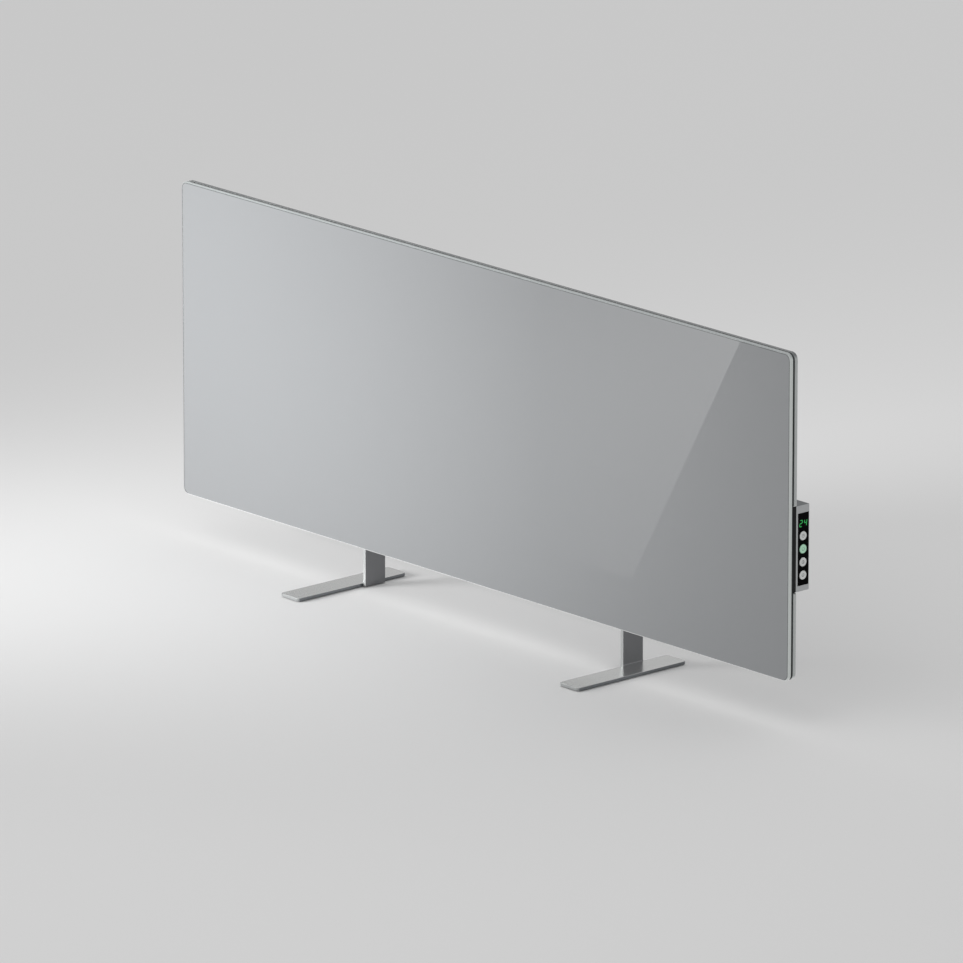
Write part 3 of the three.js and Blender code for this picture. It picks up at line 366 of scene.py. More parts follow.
def enamelled_glass(name, node, edge_code, painted_top_shade_code, code="8A8C8E", painted_bevel_shade_code="5E6263",
                    painted_lower_light_code="F4F7F6"):
    """A pane's colours: face, painted shade line by the bevel, edge, painted top shade and lower light."""
    material, tree, shader = new_material(name)
    colour = hex_colour(code)
    marks = add_group(tree, HANDLING)
    cloudy = add_group(tree, GRAIN, Color=colour, Shade=darker(colour, 0.03), Roughness=0.5,
                       Spread=0.04, Cloud_Scale=3.0, Grain_Scale=700.0)
    dusted = mix_colours(tree, calculate(tree, "MULTIPLY", marks.outputs["Specks"], 0.25),
                         cloudy.outputs["Color"], hex_colour("D8D8D4"))
    low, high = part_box(node)
    corner = Vector((CORNER_RADIUS, 0, CORNER_RADIUS))
    reach = (high - low) / 2 - corner
    outline = add_group(tree, OUTLINE, Centre=(low + high) / 2, Reach=(reach.x, 1, reach.z),
                        Corner=CORNER_RADIUS)
    # A painted shade: a dark line just inside the bevel, left off along the foot of the pane.
    rim = POLISHED_BEVEL + PAINTED_BEVEL_SHADE_WIDTH
    near_edge = calculate(tree, "LESS_THAN", outline.outputs["Inside"], rim)
    above_foot = calculate(tree, "GREATER_THAN", split(tree, own_place(tree))["Z"], low.z + rim)
    bevel_shade_mask = calculate(tree, "MULTIPLY", near_edge, above_foot)
    with_bevel_shade = mix_colours(tree, bevel_shade_mask, dusted, hex_colour(painted_bevel_shade_code))
    edge = hex_colour(edge_code)
    # Painted light and shade on the edge: darker where it looks up, brightest where it looks down.
    for direction, painted_edge_tint in ((1, painted_top_shade_code), (-1, painted_lower_light_code)):
        edge = mix_colours(tree, facing(tree, (0, 0, direction), 0.2, 0.7), edge, hex_colour(painted_edge_tint))
    flat = [facing(tree, (0, direction, 0), 0.0, 1.0) for direction in (-1, 1)]
    is_face = calculate(tree, "MAXIMUM", *[calculate(tree, "GREATER_THAN", share, 0.97) for share in flat])
    feed(tree, shader, Base_Color=mix_colours(tree, is_face, edge, with_bevel_shade),
         Roughness=cloudy.outputs["Roughness"], Specular_IOR_Level=0.3, Coat_Weight=1.0,
         Coat_Roughness=0.015, Coat_IOR=GLASS_INDEX)
    return material


front_glass = enamelled_glass("front_glass_enamel", "front_glass", "CDD2D0", "9FA4A4")
rear_glass = enamelled_glass("rear_glass_enamel", "rear_glass", "B2B6B5", "55585A")
print("glass:", front_glass.name, rear_glass.name)

# %% [markdown]
# ## Metals
# The legs are satin nickel over steel: rolled bar, brushed along its length and plated. The lines
# are fine. The narrow front edges are ground, so they are rougher. Their colours carry painted light
# and shade: the uprights are painted darker than the plates though they are the same nickel, the
# sides of the foot plates that look to the right are painted darker, and the front edges get a
# colour of their own. The control box is aluminium, blasted and anodised, and its outer side is
# painted paler, a painted light. Screws are bright zinc, and the blocks behind the panel show the
# marks of the cutter.

# %% Finishes: metals
def paint_light_by_side(material, direction, code, rougher=0.0):
    """Painted light and shade: faces that look in a direction get a colour of their own, and more
    roughness.
    """
    tree = material.node_tree
    shader = tree.nodes["Principled BSDF"]
    share = facing(tree, direction)
    colour, roughness = [shader.inputs[name].links[0].from_socket for name in ("Base Color", "Roughness")]
    added = calculate(tree, "MULTIPLY", share, rougher)
    feed(tree, shader, Base_Color=mix_colours(tree, share, colour, hex_colour(code)),
         Roughness=calculate(tree, "ADD", roughness, added))


plate_steel = grained("satin_nickel_plate", "DADBDA", 0.24, shade=0.10, spread=0.10, grain=900.0,
                      cloud=12.0, height=0.004 * MM, stretch=(6, 0.12, 6), Metallic=1.0)
# Painted shade: the plate's sides that look to the right are darker.
paint_light_by_side(plate_steel, (1, 0, 0), "7E8184")
# Painted shade: the plate's front end is darker than its top; being ground, it is also rougher.
paint_light_by_side(plate_steel, (0, -1, 0), "A8AAAA", rougher=0.3)
# Painted shade: the upright is the plate's satin nickel, given a darker colour.
shaded_upright_steel = grained("satin_nickel_upright_shaded", "828385", 0.3, shade=0.10, spread=0.10, grain=900.0,
                        cloud=12.0, height=0.004 * MM, stretch=(6, 6, 0.12), Metallic=1.0)
# Painted light: the upright's front edge is paler than its sides; being ground, it is also rougher.
paint_light_by_side(shaded_upright_steel, (0, -1, 0), "B0B2B2", rougher=0.3)
blasted = grained("blasted_aluminium", "6F7274", 0.42, shade=0.10, spread=0.16, grain=5200.0,
                  cloud=60.0, height=0.012 * MM, Metallic=0.85)
# Painted light: the housing's outer side, which looks to the right, is paler.
paint_light_by_side(blasted, (1, 0, 0), "B9BBBC")
milled = grained("milled_aluminium", "B4B7B9", 0.36, shade=0.14, spread=0.14, grain=1100.0,
                 height=0.01 * MM, stretch=(0.2, 1, 4), Metallic=1.0)
zinc = grained("bright_zinc", "C2C5C7", 0.28, shade=0.12, spread=0.18, grain=1800.0, cloud=300.0,
               height=0.006 * MM, Metallic=1.0)
copper = grained("copper_strip", "B8734A", 0.34, shade=0.22, spread=0.16, grain=800.0,
                 height=0.006 * MM, stretch=(6, 1, 0.2), Metallic=1.0)
print("metals:", [metal.name for metal in (plate_steel, shaded_upright_steel, blasted, milled, zinc, copper)])

# %% [markdown]
# ## Plastics, rubber and what lies inside
# Moulded plastics differ by the texture of their mould: a fine spark-eroded grain on the black
# base, an even satin on the buttons, and none on the fascia, which is polished. The mat between
# the panes is felted mineral fibre, so its grain is drawn out and its bump is deep.

# %% Finishes: plastics and inner parts
black_plastic = grained("black_plastic", "141516", 0.5, shade=0.3, grain=4200.0, height=0.015 * MM,
                        Specular_IOR_Level=0.2)
switch_plastic = grained("switch_plastic", "202022", 0.45, shade=0.25, grain=5000.0)
plunger_plastic = grained("plunger_plastic", "D0D0CC", 0.5, grain=4000.0)
button_plastic = grained("button_plastic", "DADCDB", 0.42, shade=0.05, grain=6000.0, height=0.006 * MM)
silicone = grained("seal_silicone", "343738", 0.7, shade=0.3, grain=1800.0)
rubber = grained("foot_rubber", "1A1A1B", 0.88, shade=0.25, grain=1500.0, height=0.04 * MM)
mineral_mat = grained("mineral_mat", "D8D4C8", 0.95, shade=0.3, grain=900.0, cloud=90.0,
                      height=0.15 * MM, stretch=(0.3, 1, 1.4))
amber_film = grained("amber_film", "B98A4A", 0.3, shade=0.15, grain=500.0, cloud=8.0)
carbon = grained("printed_carbon", "26262A", 0.6, shade=0.35, spread=0.2, grain=3000.0, cloud=200.0)
relay_blue = grained("relay_case", "2C5FA8", 0.42, grain=3600.0)
ferrite = grained("ferrite", "3A3A3C", 0.6, shade=0.3, grain=2600.0, height=0.03 * MM)
terminal_green = grained("terminal_green", "2F8A50", 0.5, grain=3600.0)
capacitor_sleeve = grained("capacitor_sleeve", "2A2A52", 0.32, grain=1500.0)
lead_sleeve = grained("lead_sleeve", "8B3A30", 0.6, grain=2000.0)
fuse_ceramic = grained("fuse_ceramic", "D9D5CA", 0.35, shade=0.06, grain=2200.0)
print("finishes so far:", len(bpy.data.materials))

# %% [markdown]
# ## Black gloss
# The fascia is a clear plate, printed black behind, so it is almost as smooth as glass. Wipe marks
# roughen it a little, and its colour lifts only where dust lies.

# %% Finish: fascia
def gloss_black(name):
    material, tree, shader = new_material(name)
    marks = add_group(tree, HANDLING, Wipe_Scale=70.0, Speck_Scale=2500.0)
    dusted = mix_colours(tree, calculate(tree, "MULTIPLY", marks.outputs["Specks"], 0.3),
                         hex_colour("030304"), hex_colour("3A3A39"))
    wiped = calculate(tree, "MULTIPLY", marks.outputs["Wiped"], 0.1)
    feed(tree, shader, Base_Color=dusted, Roughness=wiped, Specular_IOR_Level=0.03)
    return material


fascia_gloss = gloss_black("fascia_gloss")
print("black gloss:", fascia_gloss.name)

# %% [markdown]
# ## Light from inside
# Two things on the control box shine: the digits and the cap of the power button. A diode behind a
# diffuser is brightest in the middle and fades to the rim. The fade is a sphere of shade around
# the middle of the piece, read from the piece's own place, and it feeds the emission colour.

# %% Finish: lit plastic
def lit_plastic(name, code, glow_code, middle, reach, strength):
    """A plastic lit from behind: the glow fades with the distance from a middle."""
    material = grained(name, code, 0.42, shade=0.05, grain=6000.0, height=0.006 * MM)
    tree = material.node_tree
    distance = calculate_vector(tree, "DISTANCE", own_place(tree), middle)
    bright = hex_colour(glow_code)
    glow = mix_colours(tree, remap(tree, distance, From_Max=reach), bright, darker(bright, 0.6))
    feed(tree, tree.nodes["Principled BSDF"], Emission_Color=glow, Emission_Strength=strength)
    return material


print("a lit plastic is ready for the power button and the digits")

# %% [markdown]
# ## Circuit boards
# A board is glass fibre under green lacquer. Copper tracks show through the lacquer as paler
# lines, and they run level or upright. Two striped waves make the lines, and a coarse cell pattern
# chooses which of them a spot of the board has.

# %% Finish: circuit board
def circuit_board(name):
    material, tree, shader = new_material(name)
    place = own_place(tree)
    cells = feed(tree, add_node(tree, "TexVoronoi"), Vector=place, Scale=110.0)
    pick = feed(tree, add_node(tree, "SeparateColor"), Color=cells.outputs["Color"]).outputs[0]
    lines = []
    for direction, where in (("X", "GREATER_THAN"), ("Z", "LESS_THAN")):
        wave = feed(tree, add_node(tree, "TexWave", bands_direction=direction), Vector=place, Scale=130.0)
        line = calculate(tree, "GREATER_THAN", wave.outputs["Fac"], 0.72)
        lines.append(calculate(tree, "MULTIPLY", line, calculate(tree, where, pick, 0.5)))
    track = calculate(tree, "MAXIMUM", *lines)
    lacquer = mix_colours(tree, track, hex_colour("1B5234"), hex_colour("2F7A4B"))
    bump = feed(tree, add_node(tree, "Bump"), Distance=0.03 * MM, Height=track)
    feed(tree, shader, Base_Color=lacquer, Roughness=0.38, Normal=bump.outputs[0])
    return material


board_lacquer = circuit_board("board_lacquer")
print("board:", board_lacquer.name)

# %% [markdown]
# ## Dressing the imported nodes
# A node whose shape is right keeps it and only gets a better material. The names of the nodes say
# what they are, so a finish is chosen by what a name starts with.

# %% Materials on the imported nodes
DRESSED = [
    (front_glass, "front_glass"),
    (rear_glass, "rear_glass"),
    (silicone, "perimeter_seal"),
    (mineral_mat, "insulation_mat"),
    (amber_film, "heating_film"),
    (carbon, "heating_element"),
    (copper, "busbar"),
    (plate_steel, "left_foot_plate right_foot_plate"),
    (rubber, "left_foot_pad right_foot_pad"),
    (shaded_upright_steel, "left_upright right_upright left_bracket right_bracket"),
    (milled, "left_mounting_block right_mounting_block"),
    (zinc, "left_screw right_screw housing_screw control_board_screw power_board_screw"),
    (black_plastic, "control_base tilt_switch cord_gland gland_nut"),
    (black_plastic, "room_temperature_sensor overheat_cutout"),
    (blasted, "control_housing"),
    (fascia_gloss, "control_fascia"),
    (switch_plastic, "display_module tact_switch"),
    (button_plastic, "button"),
    (plunger_plastic, "switch_plunger"),
    (board_lacquer, "control_board power_board"),
    (relay_blue, "power_relay"),
    (ferrite, "transformer"),
    (capacitor_sleeve, "smoothing_capacitor"),
    (fuse_ceramic, "fuse"),
    (terminal_green, "terminal_block"),
    (lead_sleeve, "heater_lead"),
]
FINISHES = {start: finish for finish, starts in DRESSED for start in starts.split()}
for name, node in nodes.items():
    start = max((key for key in FINISHES if name.startswith(key)), key=len)
    node.data.materials.clear()
    node.data.materials.append(FINISHES[start])
print("dressed", len(nodes), "nodes with", len(set(FINISHES.values())), "finishes")

# %% [markdown]
# ## Modelling by hand
# A piece starts as a primitive at its size and place. Edges and faces are then chosen in code, by
# where they lie, and shaped with the operators of edit mode. An operator works on all that is
# selected, so everything is deselected first. At the end the shading is smoothed up to an angle,
# and weighted normals keep the large flat faces flat.

# %% Helpers for modelling
SAME = 0.01 * MM  # two places closer than this count as one


def deselect_all():
    for piece in list(bpy.context.selected_objects):
        piece.select_set(False)


def make_active(piece):
    deselect_all()
    piece.select_set(True)
    bpy.context.view_layer.objects.active = piece


def apply_modifier(piece, kind, **settings):
    """Adds a modifier with these settings and writes what it does into the mesh."""
    modifier = piece.modifiers.new(kind.lower(), kind)
    for name, value in settings.items():
        setattr(modifier, name, value)
    make_active(piece)
    bpy.ops.object.modifier_apply(modifier=modifier.name)


def named(name):
    """Names the primitive that was just added."""
    piece = bpy.context.object
    piece.name = piece.data.name = name
    bpy.ops.object.transform_apply(location=True, rotation=True, scale=True)
    return piece


def start_block(name, low, high):
    """A cube that fills the space between two corners."""
    deselect_all()
    low, high = Vector(low), Vector(high)
    bpy.ops.mesh.primitive_cube_add(size=1, location=(low + high) / 2)
    bpy.context.object.scale = high - low
    return named(name)


def start_rod(name, centre, radius, length, axis, sides=64):
    """A cylinder around a centre, along the named axis."""
    deselect_all()
    turn = {"X": (0, math.pi / 2, 0), "Y": (math.pi / 2, 0, 0), "Z": (0, 0, 0)}[axis]
    bpy.ops.mesh.primitive_cylinder_add(vertices=sides, radius=radius, depth=length, location=centre,
                                        rotation=turn)
    return named(name)


def choose(piece, kind, wanted):
    """In edit mode, selects the edges or faces that the test wants, and nothing else."""
    make_active(piece)
    bpy.ops.object.mode_set(mode="EDIT")
    bpy.ops.mesh.select_mode(type=kind)
    bpy.ops.mesh.select_all(action="DESELECT")
    mesh = bmesh.from_edit_mesh(piece.data)
    found = [part for part in (mesh.edges if kind == "EDGE" else mesh.faces) if wanted(part)]
    for part in found:
        part.select_set(True)
    bmesh.update_edit_mesh(piece.data)
    return len(found)


def done():
    bpy.ops.object.mode_set(mode="OBJECT")


def runs_along(axis, test=lambda middle: True):
    """A test for straight edges along an axis (0, 1 or 2) whose middle passes a second test."""
    def wanted(edge):
        first, second = [corner.co for corner in edge.verts]
        others = [place for place in range(3) if place != axis]
        straight = all(abs(first[place] - second[place]) < SAME for place in others)
        return straight and test((first + second) / 2)
    return wanted


def lies_at(axis, place):
    """A test for edges and faces whose corners all lie at one place along an axis."""
    return lambda part: all(abs(corner.co[axis] - place) < SAME for corner in part.verts)


def rim_at(axis, place):
    """A test for the edges around a flat end, where it meets the faces that leave it."""
    flat = lies_at(axis, place)
    return lambda edge: flat(edge) and any(not flat(face) for face in edge.link_faces)


def bevel_edges(piece, wanted, width, segments, profile=0.5):
    if choose(piece, "EDGE", wanted):
        bpy.ops.mesh.bevel(offset_type="OFFSET", offset=width, segments=segments, profile=profile)
    done()


def extrude(*shift):
    bpy.ops.mesh.extrude_region_move(TRANSFORM_OT_translate={"value": shift})


def combine(piece, other, operation="DIFFERENCE"):
    """Cuts another piece out of this one, or adds it, and removes the other."""
    apply_modifier(piece, "BOOLEAN", operation=operation, solver="EXACT", object=other)
    bpy.data.objects.remove(other)


def break_edges(piece, width, segments=2, angle=35):
    """Rounds every edge that is sharper than an angle, as a cloth wheel or a deburring tool does."""
    apply_modifier(piece, "BEVEL", width=width, segments=segments, limit_method="ANGLE",
                   angle_limit=math.radians(angle), use_clamp_overlap=True)


def smooth(piece, angle=32):
    make_active(piece)
    bpy.ops.object.shade_smooth_by_angle(angle=math.radians(angle))
    apply_modifier(piece, "WEIGHTED_NORMAL", keep_sharp=True)


def copy_piece(piece, name, offset):
    """A copy with a mesh of its own, moved by an offset that is written into the mesh."""
    mesh = piece.data.copy()
    mesh.name = name
    mesh.transform(Matrix.Translation(offset))
    twin = bpy.data.objects.new(name, mesh)
    bpy.context.scene.collection.objects.link(twin)
    return twin


def mount(piece, body, slot, finish, *stands_for):
    """Gives a piece its finish, lets it ride on a body, and hides the nodes that it stands for."""
    piece.data.materials.clear()
    piece.data.materials.append(finish)
    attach(piece, body)
    if stands_for:
        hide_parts(*stands_for)
    print(piece.name, "has", len(piece.data.polygons), "faces")


def centre_of(name):
    low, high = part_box(name)
    return (low + high) / 2


print("helpers for modelling are ready")

# %% [markdown]
# ## The front pane
# The pane is cut with round corners, and its front edge is ground and polished to a bevel all
# round. A block at full size gets its four corners bevelled in many steps, which makes them round,
# then the rim of its front gets one flat step, the bevel, and the rim of its back a narrow one.

# %% Front pane
ARRIS = 0.4 * MM
FINE_EDGE = 0.12 * MM
CORNER_SEGMENTS = 18


def model_pane(name, low, high):
    pane = start_block(name, low, high)
    bevel_edges(pane, runs_along(1), CORNER_RADIUS, CORNER_SEGMENTS)
    return pane


low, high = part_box("front_glass")
front_pane = model_pane("front_pane", low, high)
bevel_edges(front_pane, rim_at(1, low.y), POLISHED_BEVEL, 1)
bevel_edges(front_pane, rim_at(1, high.y), ARRIS, 1)
break_edges(front_pane, FINE_EDGE, 2, 25)
smooth(front_pane, 20)
mount(front_pane, "heater", "front_glass", front_glass, "front_glass")

# %% [markdown]
# ## The rear pane
# The second pane has the same outline, and a notch in its right edge for the base of the control
# box. The notch is cut out with a block whose inner corners are rounded first. A cut corner of
# glass is never left sharp, so all its edges are broken afterwards.

# %% Rear pane
NOTCH_GAP = 0.3 * MM
NOTCH_CORNER = 6.3 * MM
NOTCH_MOUTH_ROUND = 2 * MM
REAR_EDGE = 0.6 * MM

low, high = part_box("rear_glass")
rear_pane = model_pane("rear_pane", low, high)
base_low, base_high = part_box("control_base")
past = Vector((20, 5, 0)) * MM  # how far the cutting block reaches past the glass
notch_low = Vector((base_low.x - NOTCH_GAP, low.y, base_low.z - NOTCH_GAP)) - Vector((0, past.y, 0))
notch_high = Vector((high.x, high.y, base_high.z + NOTCH_GAP)) + past
notch = start_block("notch", notch_low, notch_high)
bevel_edges(notch, runs_along(1, lambda middle: middle.x < high.x), NOTCH_CORNER, 10)
combine(rear_pane, notch)


def at_notch_mouth(middle):
    above_or_below = min(abs(middle.z - notch_low.z), abs(middle.z - notch_high.z))
    return abs(middle.x - high.x) < SAME and above_or_below < SAME


bevel_edges(rear_pane, runs_along(1, at_notch_mouth), NOTCH_MOUTH_ROUND, 6)
break_edges(rear_pane, REAR_EDGE, 2, 50)
smooth(rear_pane, 20)
mount(rear_pane, "heater", "rear_glass", rear_glass, "rear_glass")

# %% [markdown]
# ## The legs
# Each leg is flat bar: a foot plate on the floor, and an upright that is welded to its inner side.
# The plate's corners are rounded by the file and its top edge is eased. Both legs are alike, so
# each piece is modelled once, on the right, and its copy is moved to the left.

# %% Foot plates
PLATE_CORNER = 5 * MM
PLATE_TOP_ROUND = 0.6 * MM
PLATE_FOOT_ROUND = 0.3 * MM


def leg_pair(piece, part, finish, slot="satin_steel"):
    """Mounts the right leg's piece, and a copy of it in the left leg's place."""
    offset = centre_of(f"left_{part}") - centre_of(f"right_{part}")
    twin = copy_piece(piece, f"left_{part}_fine", offset)
    mount(piece, "heater", slot, finish, f"right_{part}")
    mount(twin, "heater", slot, finish, f"left_{part}")


low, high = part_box("right_foot_plate")
plate = start_block("right_foot_plate_fine", low, high)
bevel_edges(plate, runs_along(2), PLATE_CORNER, 10)
bevel_edges(plate, rim_at(2, high.z), PLATE_TOP_ROUND, 4)
bevel_edges(plate, rim_at(2, low.z), PLATE_FOOT_ROUND, 2)
smooth(plate)
leg_pair(plate, "foot_plate", plate_steel)

# %% [markdown]
# The upright stands on edge behind the panel. Its upper rear corner is cut round so that nobody
# catches a sleeve on it, and its long edges are broken on the belt.

# %% Uprights
REAR_CORNER = 8 * MM
FRONT_CORNER = 2 * MM
BELT_ROUND = 0.45 * MM

low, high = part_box("right_upright")
upright = start_block("right_upright_fine", low, high)
middle_y = (low.y + high.y) / 2
bevel_edges(upright, runs_along(0, lambda m: m.z > high.z - SAME and m.y > middle_y), REAR_CORNER, 12)
bevel_edges(upright, runs_along(0, lambda m: m.z > high.z - SAME and m.y < middle_y), FRONT_CORNER, 6)
break_edges(upright, BELT_ROUND, 3, 40)
smooth(upright)
leg_pair(upright, "upright", shaded_upright_steel)

# %% [markdown]
# A narrow fillet shows where the upright is welded to the plate. It is a small block in the corner
# between them, and the edge that faces out is bevelled with a hollow profile.

# %% Weld fillets
FILLET = 1.2 * MM
HOLLOW = 0.12  # the bevel's profile: under 0.5 it curves inwards
upright_low, upright_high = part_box("right_upright")
plate_low, plate_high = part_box("right_foot_plate")
for side, name in ((1, "right_weld"), (-1, "left_weld")):
    near = side * plate_low.x
    far = near + side * FILLET
    block = start_block(
        name,
        (min(near, far), upright_low.y, plate_high.z),
        (max(near, far), upright_high.y, plate_high.z + FILLET),
    )
    outer = runs_along(1, lambda m: abs(m.x - far) < SAME and m.z > plate_high.z + FILLET - SAME)
    bevel_edges(block, outer, 0.96 * FILLET, 6, profile=HOLLOW)
    smooth(block)
    mount(block, "heater", "satin_steel", shaded_upright_steel)

# %% [markdown]
# Behind the panel, a bracket plate is welded to the upright's front edge. It is screwed to a block
# that is bonded to the rear pane. Both are plain machined parts with eased edges.

# %% Brackets and mounting blocks
BRACKET_CORNER = 4 * MM
BRACKET_ROUND = 0.4 * MM
BLOCK_CHAMFER = 1 * MM
BLOCK_ROUND = 0.15 * MM

low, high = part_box("right_bracket")
bracket = start_block("right_bracket_fine", low, high)
bevel_edges(bracket, runs_along(1), BRACKET_CORNER, 8)
break_edges(bracket, BRACKET_ROUND, 3, 40)
smooth(bracket)
leg_pair(bracket, "bracket", shaded_upright_steel)

low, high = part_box("right_mounting_block")
block = start_block("right_mounting_block_fine", low, high)
bevel_edges(block, runs_along(1), BRACKET_CORNER, 8)
bevel_edges(block, rim_at(1, high.y), BLOCK_CHAMFER, 1)
break_edges(block, BLOCK_ROUND, 2, 25)
smooth(block)
leg_pair(block, "mounting_block", milled, "aluminium")

# %% [markdown]
# ## Screws
# A round-head screw is turned: a low dome, a shank below it, and a hexagon socket pressed into the
# dome. It is made from a cylinder. The lower end is inset and extruded to give the shank, the
# upper rim is bevelled in steps to give the dome, and a six-sided rod is cut out for the key.

# %% Screws
SCREW_ROUND = 0.08 * MM


def model_screw(name, head_radius, head_height, shank_radius, shank_length):
    """A screw along Y, with the underside of its head at the origin."""
    screw = start_rod(name, (0, head_height / 2, 0), head_radius, head_height, "Y", 56)
    choose(screw, "FACE", lies_at(1, 0))
    bpy.ops.mesh.inset(thickness=head_radius - shank_radius)
    extrude(0, -shank_length, 0)
    done()
    bevel_edges(screw, rim_at(1, -shank_length), 0.4 * shank_radius, 1)
    bevel_edges(screw, rim_at(1, head_height), 0.55 * head_height, 7)
    combine(screw, start_rod("socket", (0, 0.95 * head_height, 0), 0.45 * head_radius, head_height, "Y", 6))
    break_edges(screw, SCREW_ROUND, 2, 40)
    smooth(screw)
    return screw


def place_screws(pattern, names):
    """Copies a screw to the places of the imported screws, whose heads point along +Y."""
    head = max(corner.co.y for corner in pattern.data.vertices)
    for name in names:
        low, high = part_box(name)
        underside = Vector(((low.x + high.x) / 2, high.y - head, (low.z + high.z) / 2))
        mount(copy_piece(pattern, f"{name}_fine", underside), "heater", "zinc", zinc, name)
    bpy.data.objects.remove(pattern)


leg_screw = model_screw("leg_screw", head_radius=4.75 * MM, head_height=2.75 * MM,
                        shank_radius=2.5 * MM, shank_length=8 * MM)
place_screws(leg_screw, [f"{side}_screw_{row}" for side in ("left", "right") for row in ("lower", "upper")])
housing_screw = model_screw("housing_screw", head_radius=2.75 * MM, head_height=1.8 * MM,
                            shank_radius=1.5 * MM, shank_length=10 * MM)
place_screws(housing_screw, [f"housing_screw_{number}" for number in (1, 2, 3, 4)])

# %% [markdown]
# ## The control box
# The housing is a shallow aluminium tray that is pushed over a black base. Its corners on the
# panel's side are round, and those on the outer side are crisp. A block is hollowed out, then the
# window for the fascia and the holes for gland and sensor are cut. All edges are broken last, so
# that the window's rim catches a line of light.

# %% Housing
WALL = 1 * MM
PANEL_SIDE_CORNER = 6 * MM
OUTER_SIDE_CORNER = 1 * MM
BACK_ROUND = 0.8 * MM
GLAND_HOLE = 6.3 * MM
SENSOR_HOLE = 2.3 * MM
HOUSING_ROUND = 0.18 * MM

low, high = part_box("control_housing")
face_low, face_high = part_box("control_fascia")
housing = start_block("housing_fine", low, high)
middle_x = (low.x + high.x) / 2
bevel_edges(housing, runs_along(1, lambda m: m.x < middle_x), PANEL_SIDE_CORNER, 12)
bevel_edges(housing, runs_along(1, lambda m: m.x > middle_x), OUTER_SIDE_CORNER, 5)
bevel_edges(housing, rim_at(1, high.y), BACK_ROUND, 4)
wall = Vector((WALL, WALL, WALL))
hollow = start_block("hollow", low + Vector((WALL, -5 * MM, WALL)), high - wall)
bevel_edges(hollow, runs_along(1, lambda m: m.x < middle_x), PANEL_SIDE_CORNER - WALL, 10)
combine(housing, hollow)

WINDOW_FRONT = 2.7 * MM  # from the housing's front edge to the window
WINDOW_BOTTOM = 7 * MM
WINDOW_TOP = 9.4 * MM
window_low = Vector((high.x - 2 * WALL, low.y + WINDOW_FRONT, low.z + WINDOW_BOTTOM))
window_high = Vector((high.x + WALL, high.y - WALL, high.z - WINDOW_TOP))
combine(housing, start_block("window", window_low, window_high))
for fitting, radius in (("gland_nut", GLAND_HOLE), ("room_temperature_sensor", SENSOR_HOLE)):
    centre = centre_of(fitting)
    combine(housing, start_rod("hole", (centre.x, centre.y, low.z), radius, 3 * WALL, "Z"))
break_edges(housing, HOUSING_ROUND, 2, 40)
smooth(housing)
mount(housing, "heater", "housing_metal", blasted, "control_housing")

# %% [markdown]
# ## The fascia
# The fascia is a stepped plate: its face fills the window, and a wider flange behind the housing's
# wall holds it there. Two pillars carry the control board. The four holes for the buttons go
# through both steps, so the steps are joined first and drilled together.

# %% Fascia
FASCIA_FIT = 0.15 * MM
FLANGE = 1 * MM
PILLAR_RADIUS = 2.3 * MM
BUTTON_RADIUS = 5.4 * MM
BUTTON_ROOM = 0.3 * MM
HOLE_DEPTH = 8 * MM
FASCIA_ROUND = 0.14 * MM
BUTTON_NAMES = ("timer", "power", "warmer", "cooler")
button_middles = {name: centre_of(f"button_{name}") for name in BUTTON_NAMES}
flange_high = high.x - WALL
flange_low = flange_high - FLANGE
fit = Vector((0, FASCIA_FIT, FASCIA_FIT))
face_front = face_high.x
fascia = start_block("fascia_fine", (flange_low, window_low.y + fit.y, window_low.z + fit.z),
                     (face_front, window_high.y - fit.y, window_high.z - fit.z))
flange = start_block("flange", (flange_low, *face_low.yz), (flange_high, *face_high.yz))
combine(fascia, flange, "UNION")
board_face = face_low.x
pillar_length = flange_low + FLANGE / 2 - board_face
for height in ((face_low.z + window_low.z) / 2, (face_high.z + window_high.z) / 2):
    centre = (board_face + pillar_length / 2, button_middles["timer"].y, height)
    combine(fascia, start_rod("pillar", centre, PILLAR_RADIUS, pillar_length, "X", 40), "UNION")
for middle in button_middles.values():
    hole_radius = BUTTON_RADIUS + BUTTON_ROOM
    combine(fascia, start_rod("hole", (face_front, *middle.yz), hole_radius, HOLE_DEPTH, "X", 72))
break_edges(fascia, FASCIA_ROUND, 2, 40)
smooth(fascia)
mount(fascia, "heater", "fascia_black", fascia_gloss, "control_fascia")

# %% [markdown]
# ## Buttons
# A button is one moulding: a round cap with a shallow dish for the fingertip, a collar that keeps
# it behind the fascia, and a stem that reaches the switch. The cylinder of the cap is extruded and
# widened to the collar, then narrowed to the stem. In front, the rim is rounded, and the face is
# inset twice and pushed in by a little to make the dish.

# %% Buttons
DISH = 0.25 * MM
DISH_RINGS = (1.0 * MM, 1.6 * MM)
RIM_ROUND = 0.6 * MM
CAP_DEPTH = 2.6 * MM
COLLAR_DEPTH = 0.8 * MM
STEM_RADIUS = 1.6 * MM


def step_to(factor, centre):
    """Starts a ring on the chosen end and scales it across the button, about the button's axis."""
    extrude(0, 0, 0)
    bpy.ops.transform.resize(value=(1, factor, factor), center_override=centre)


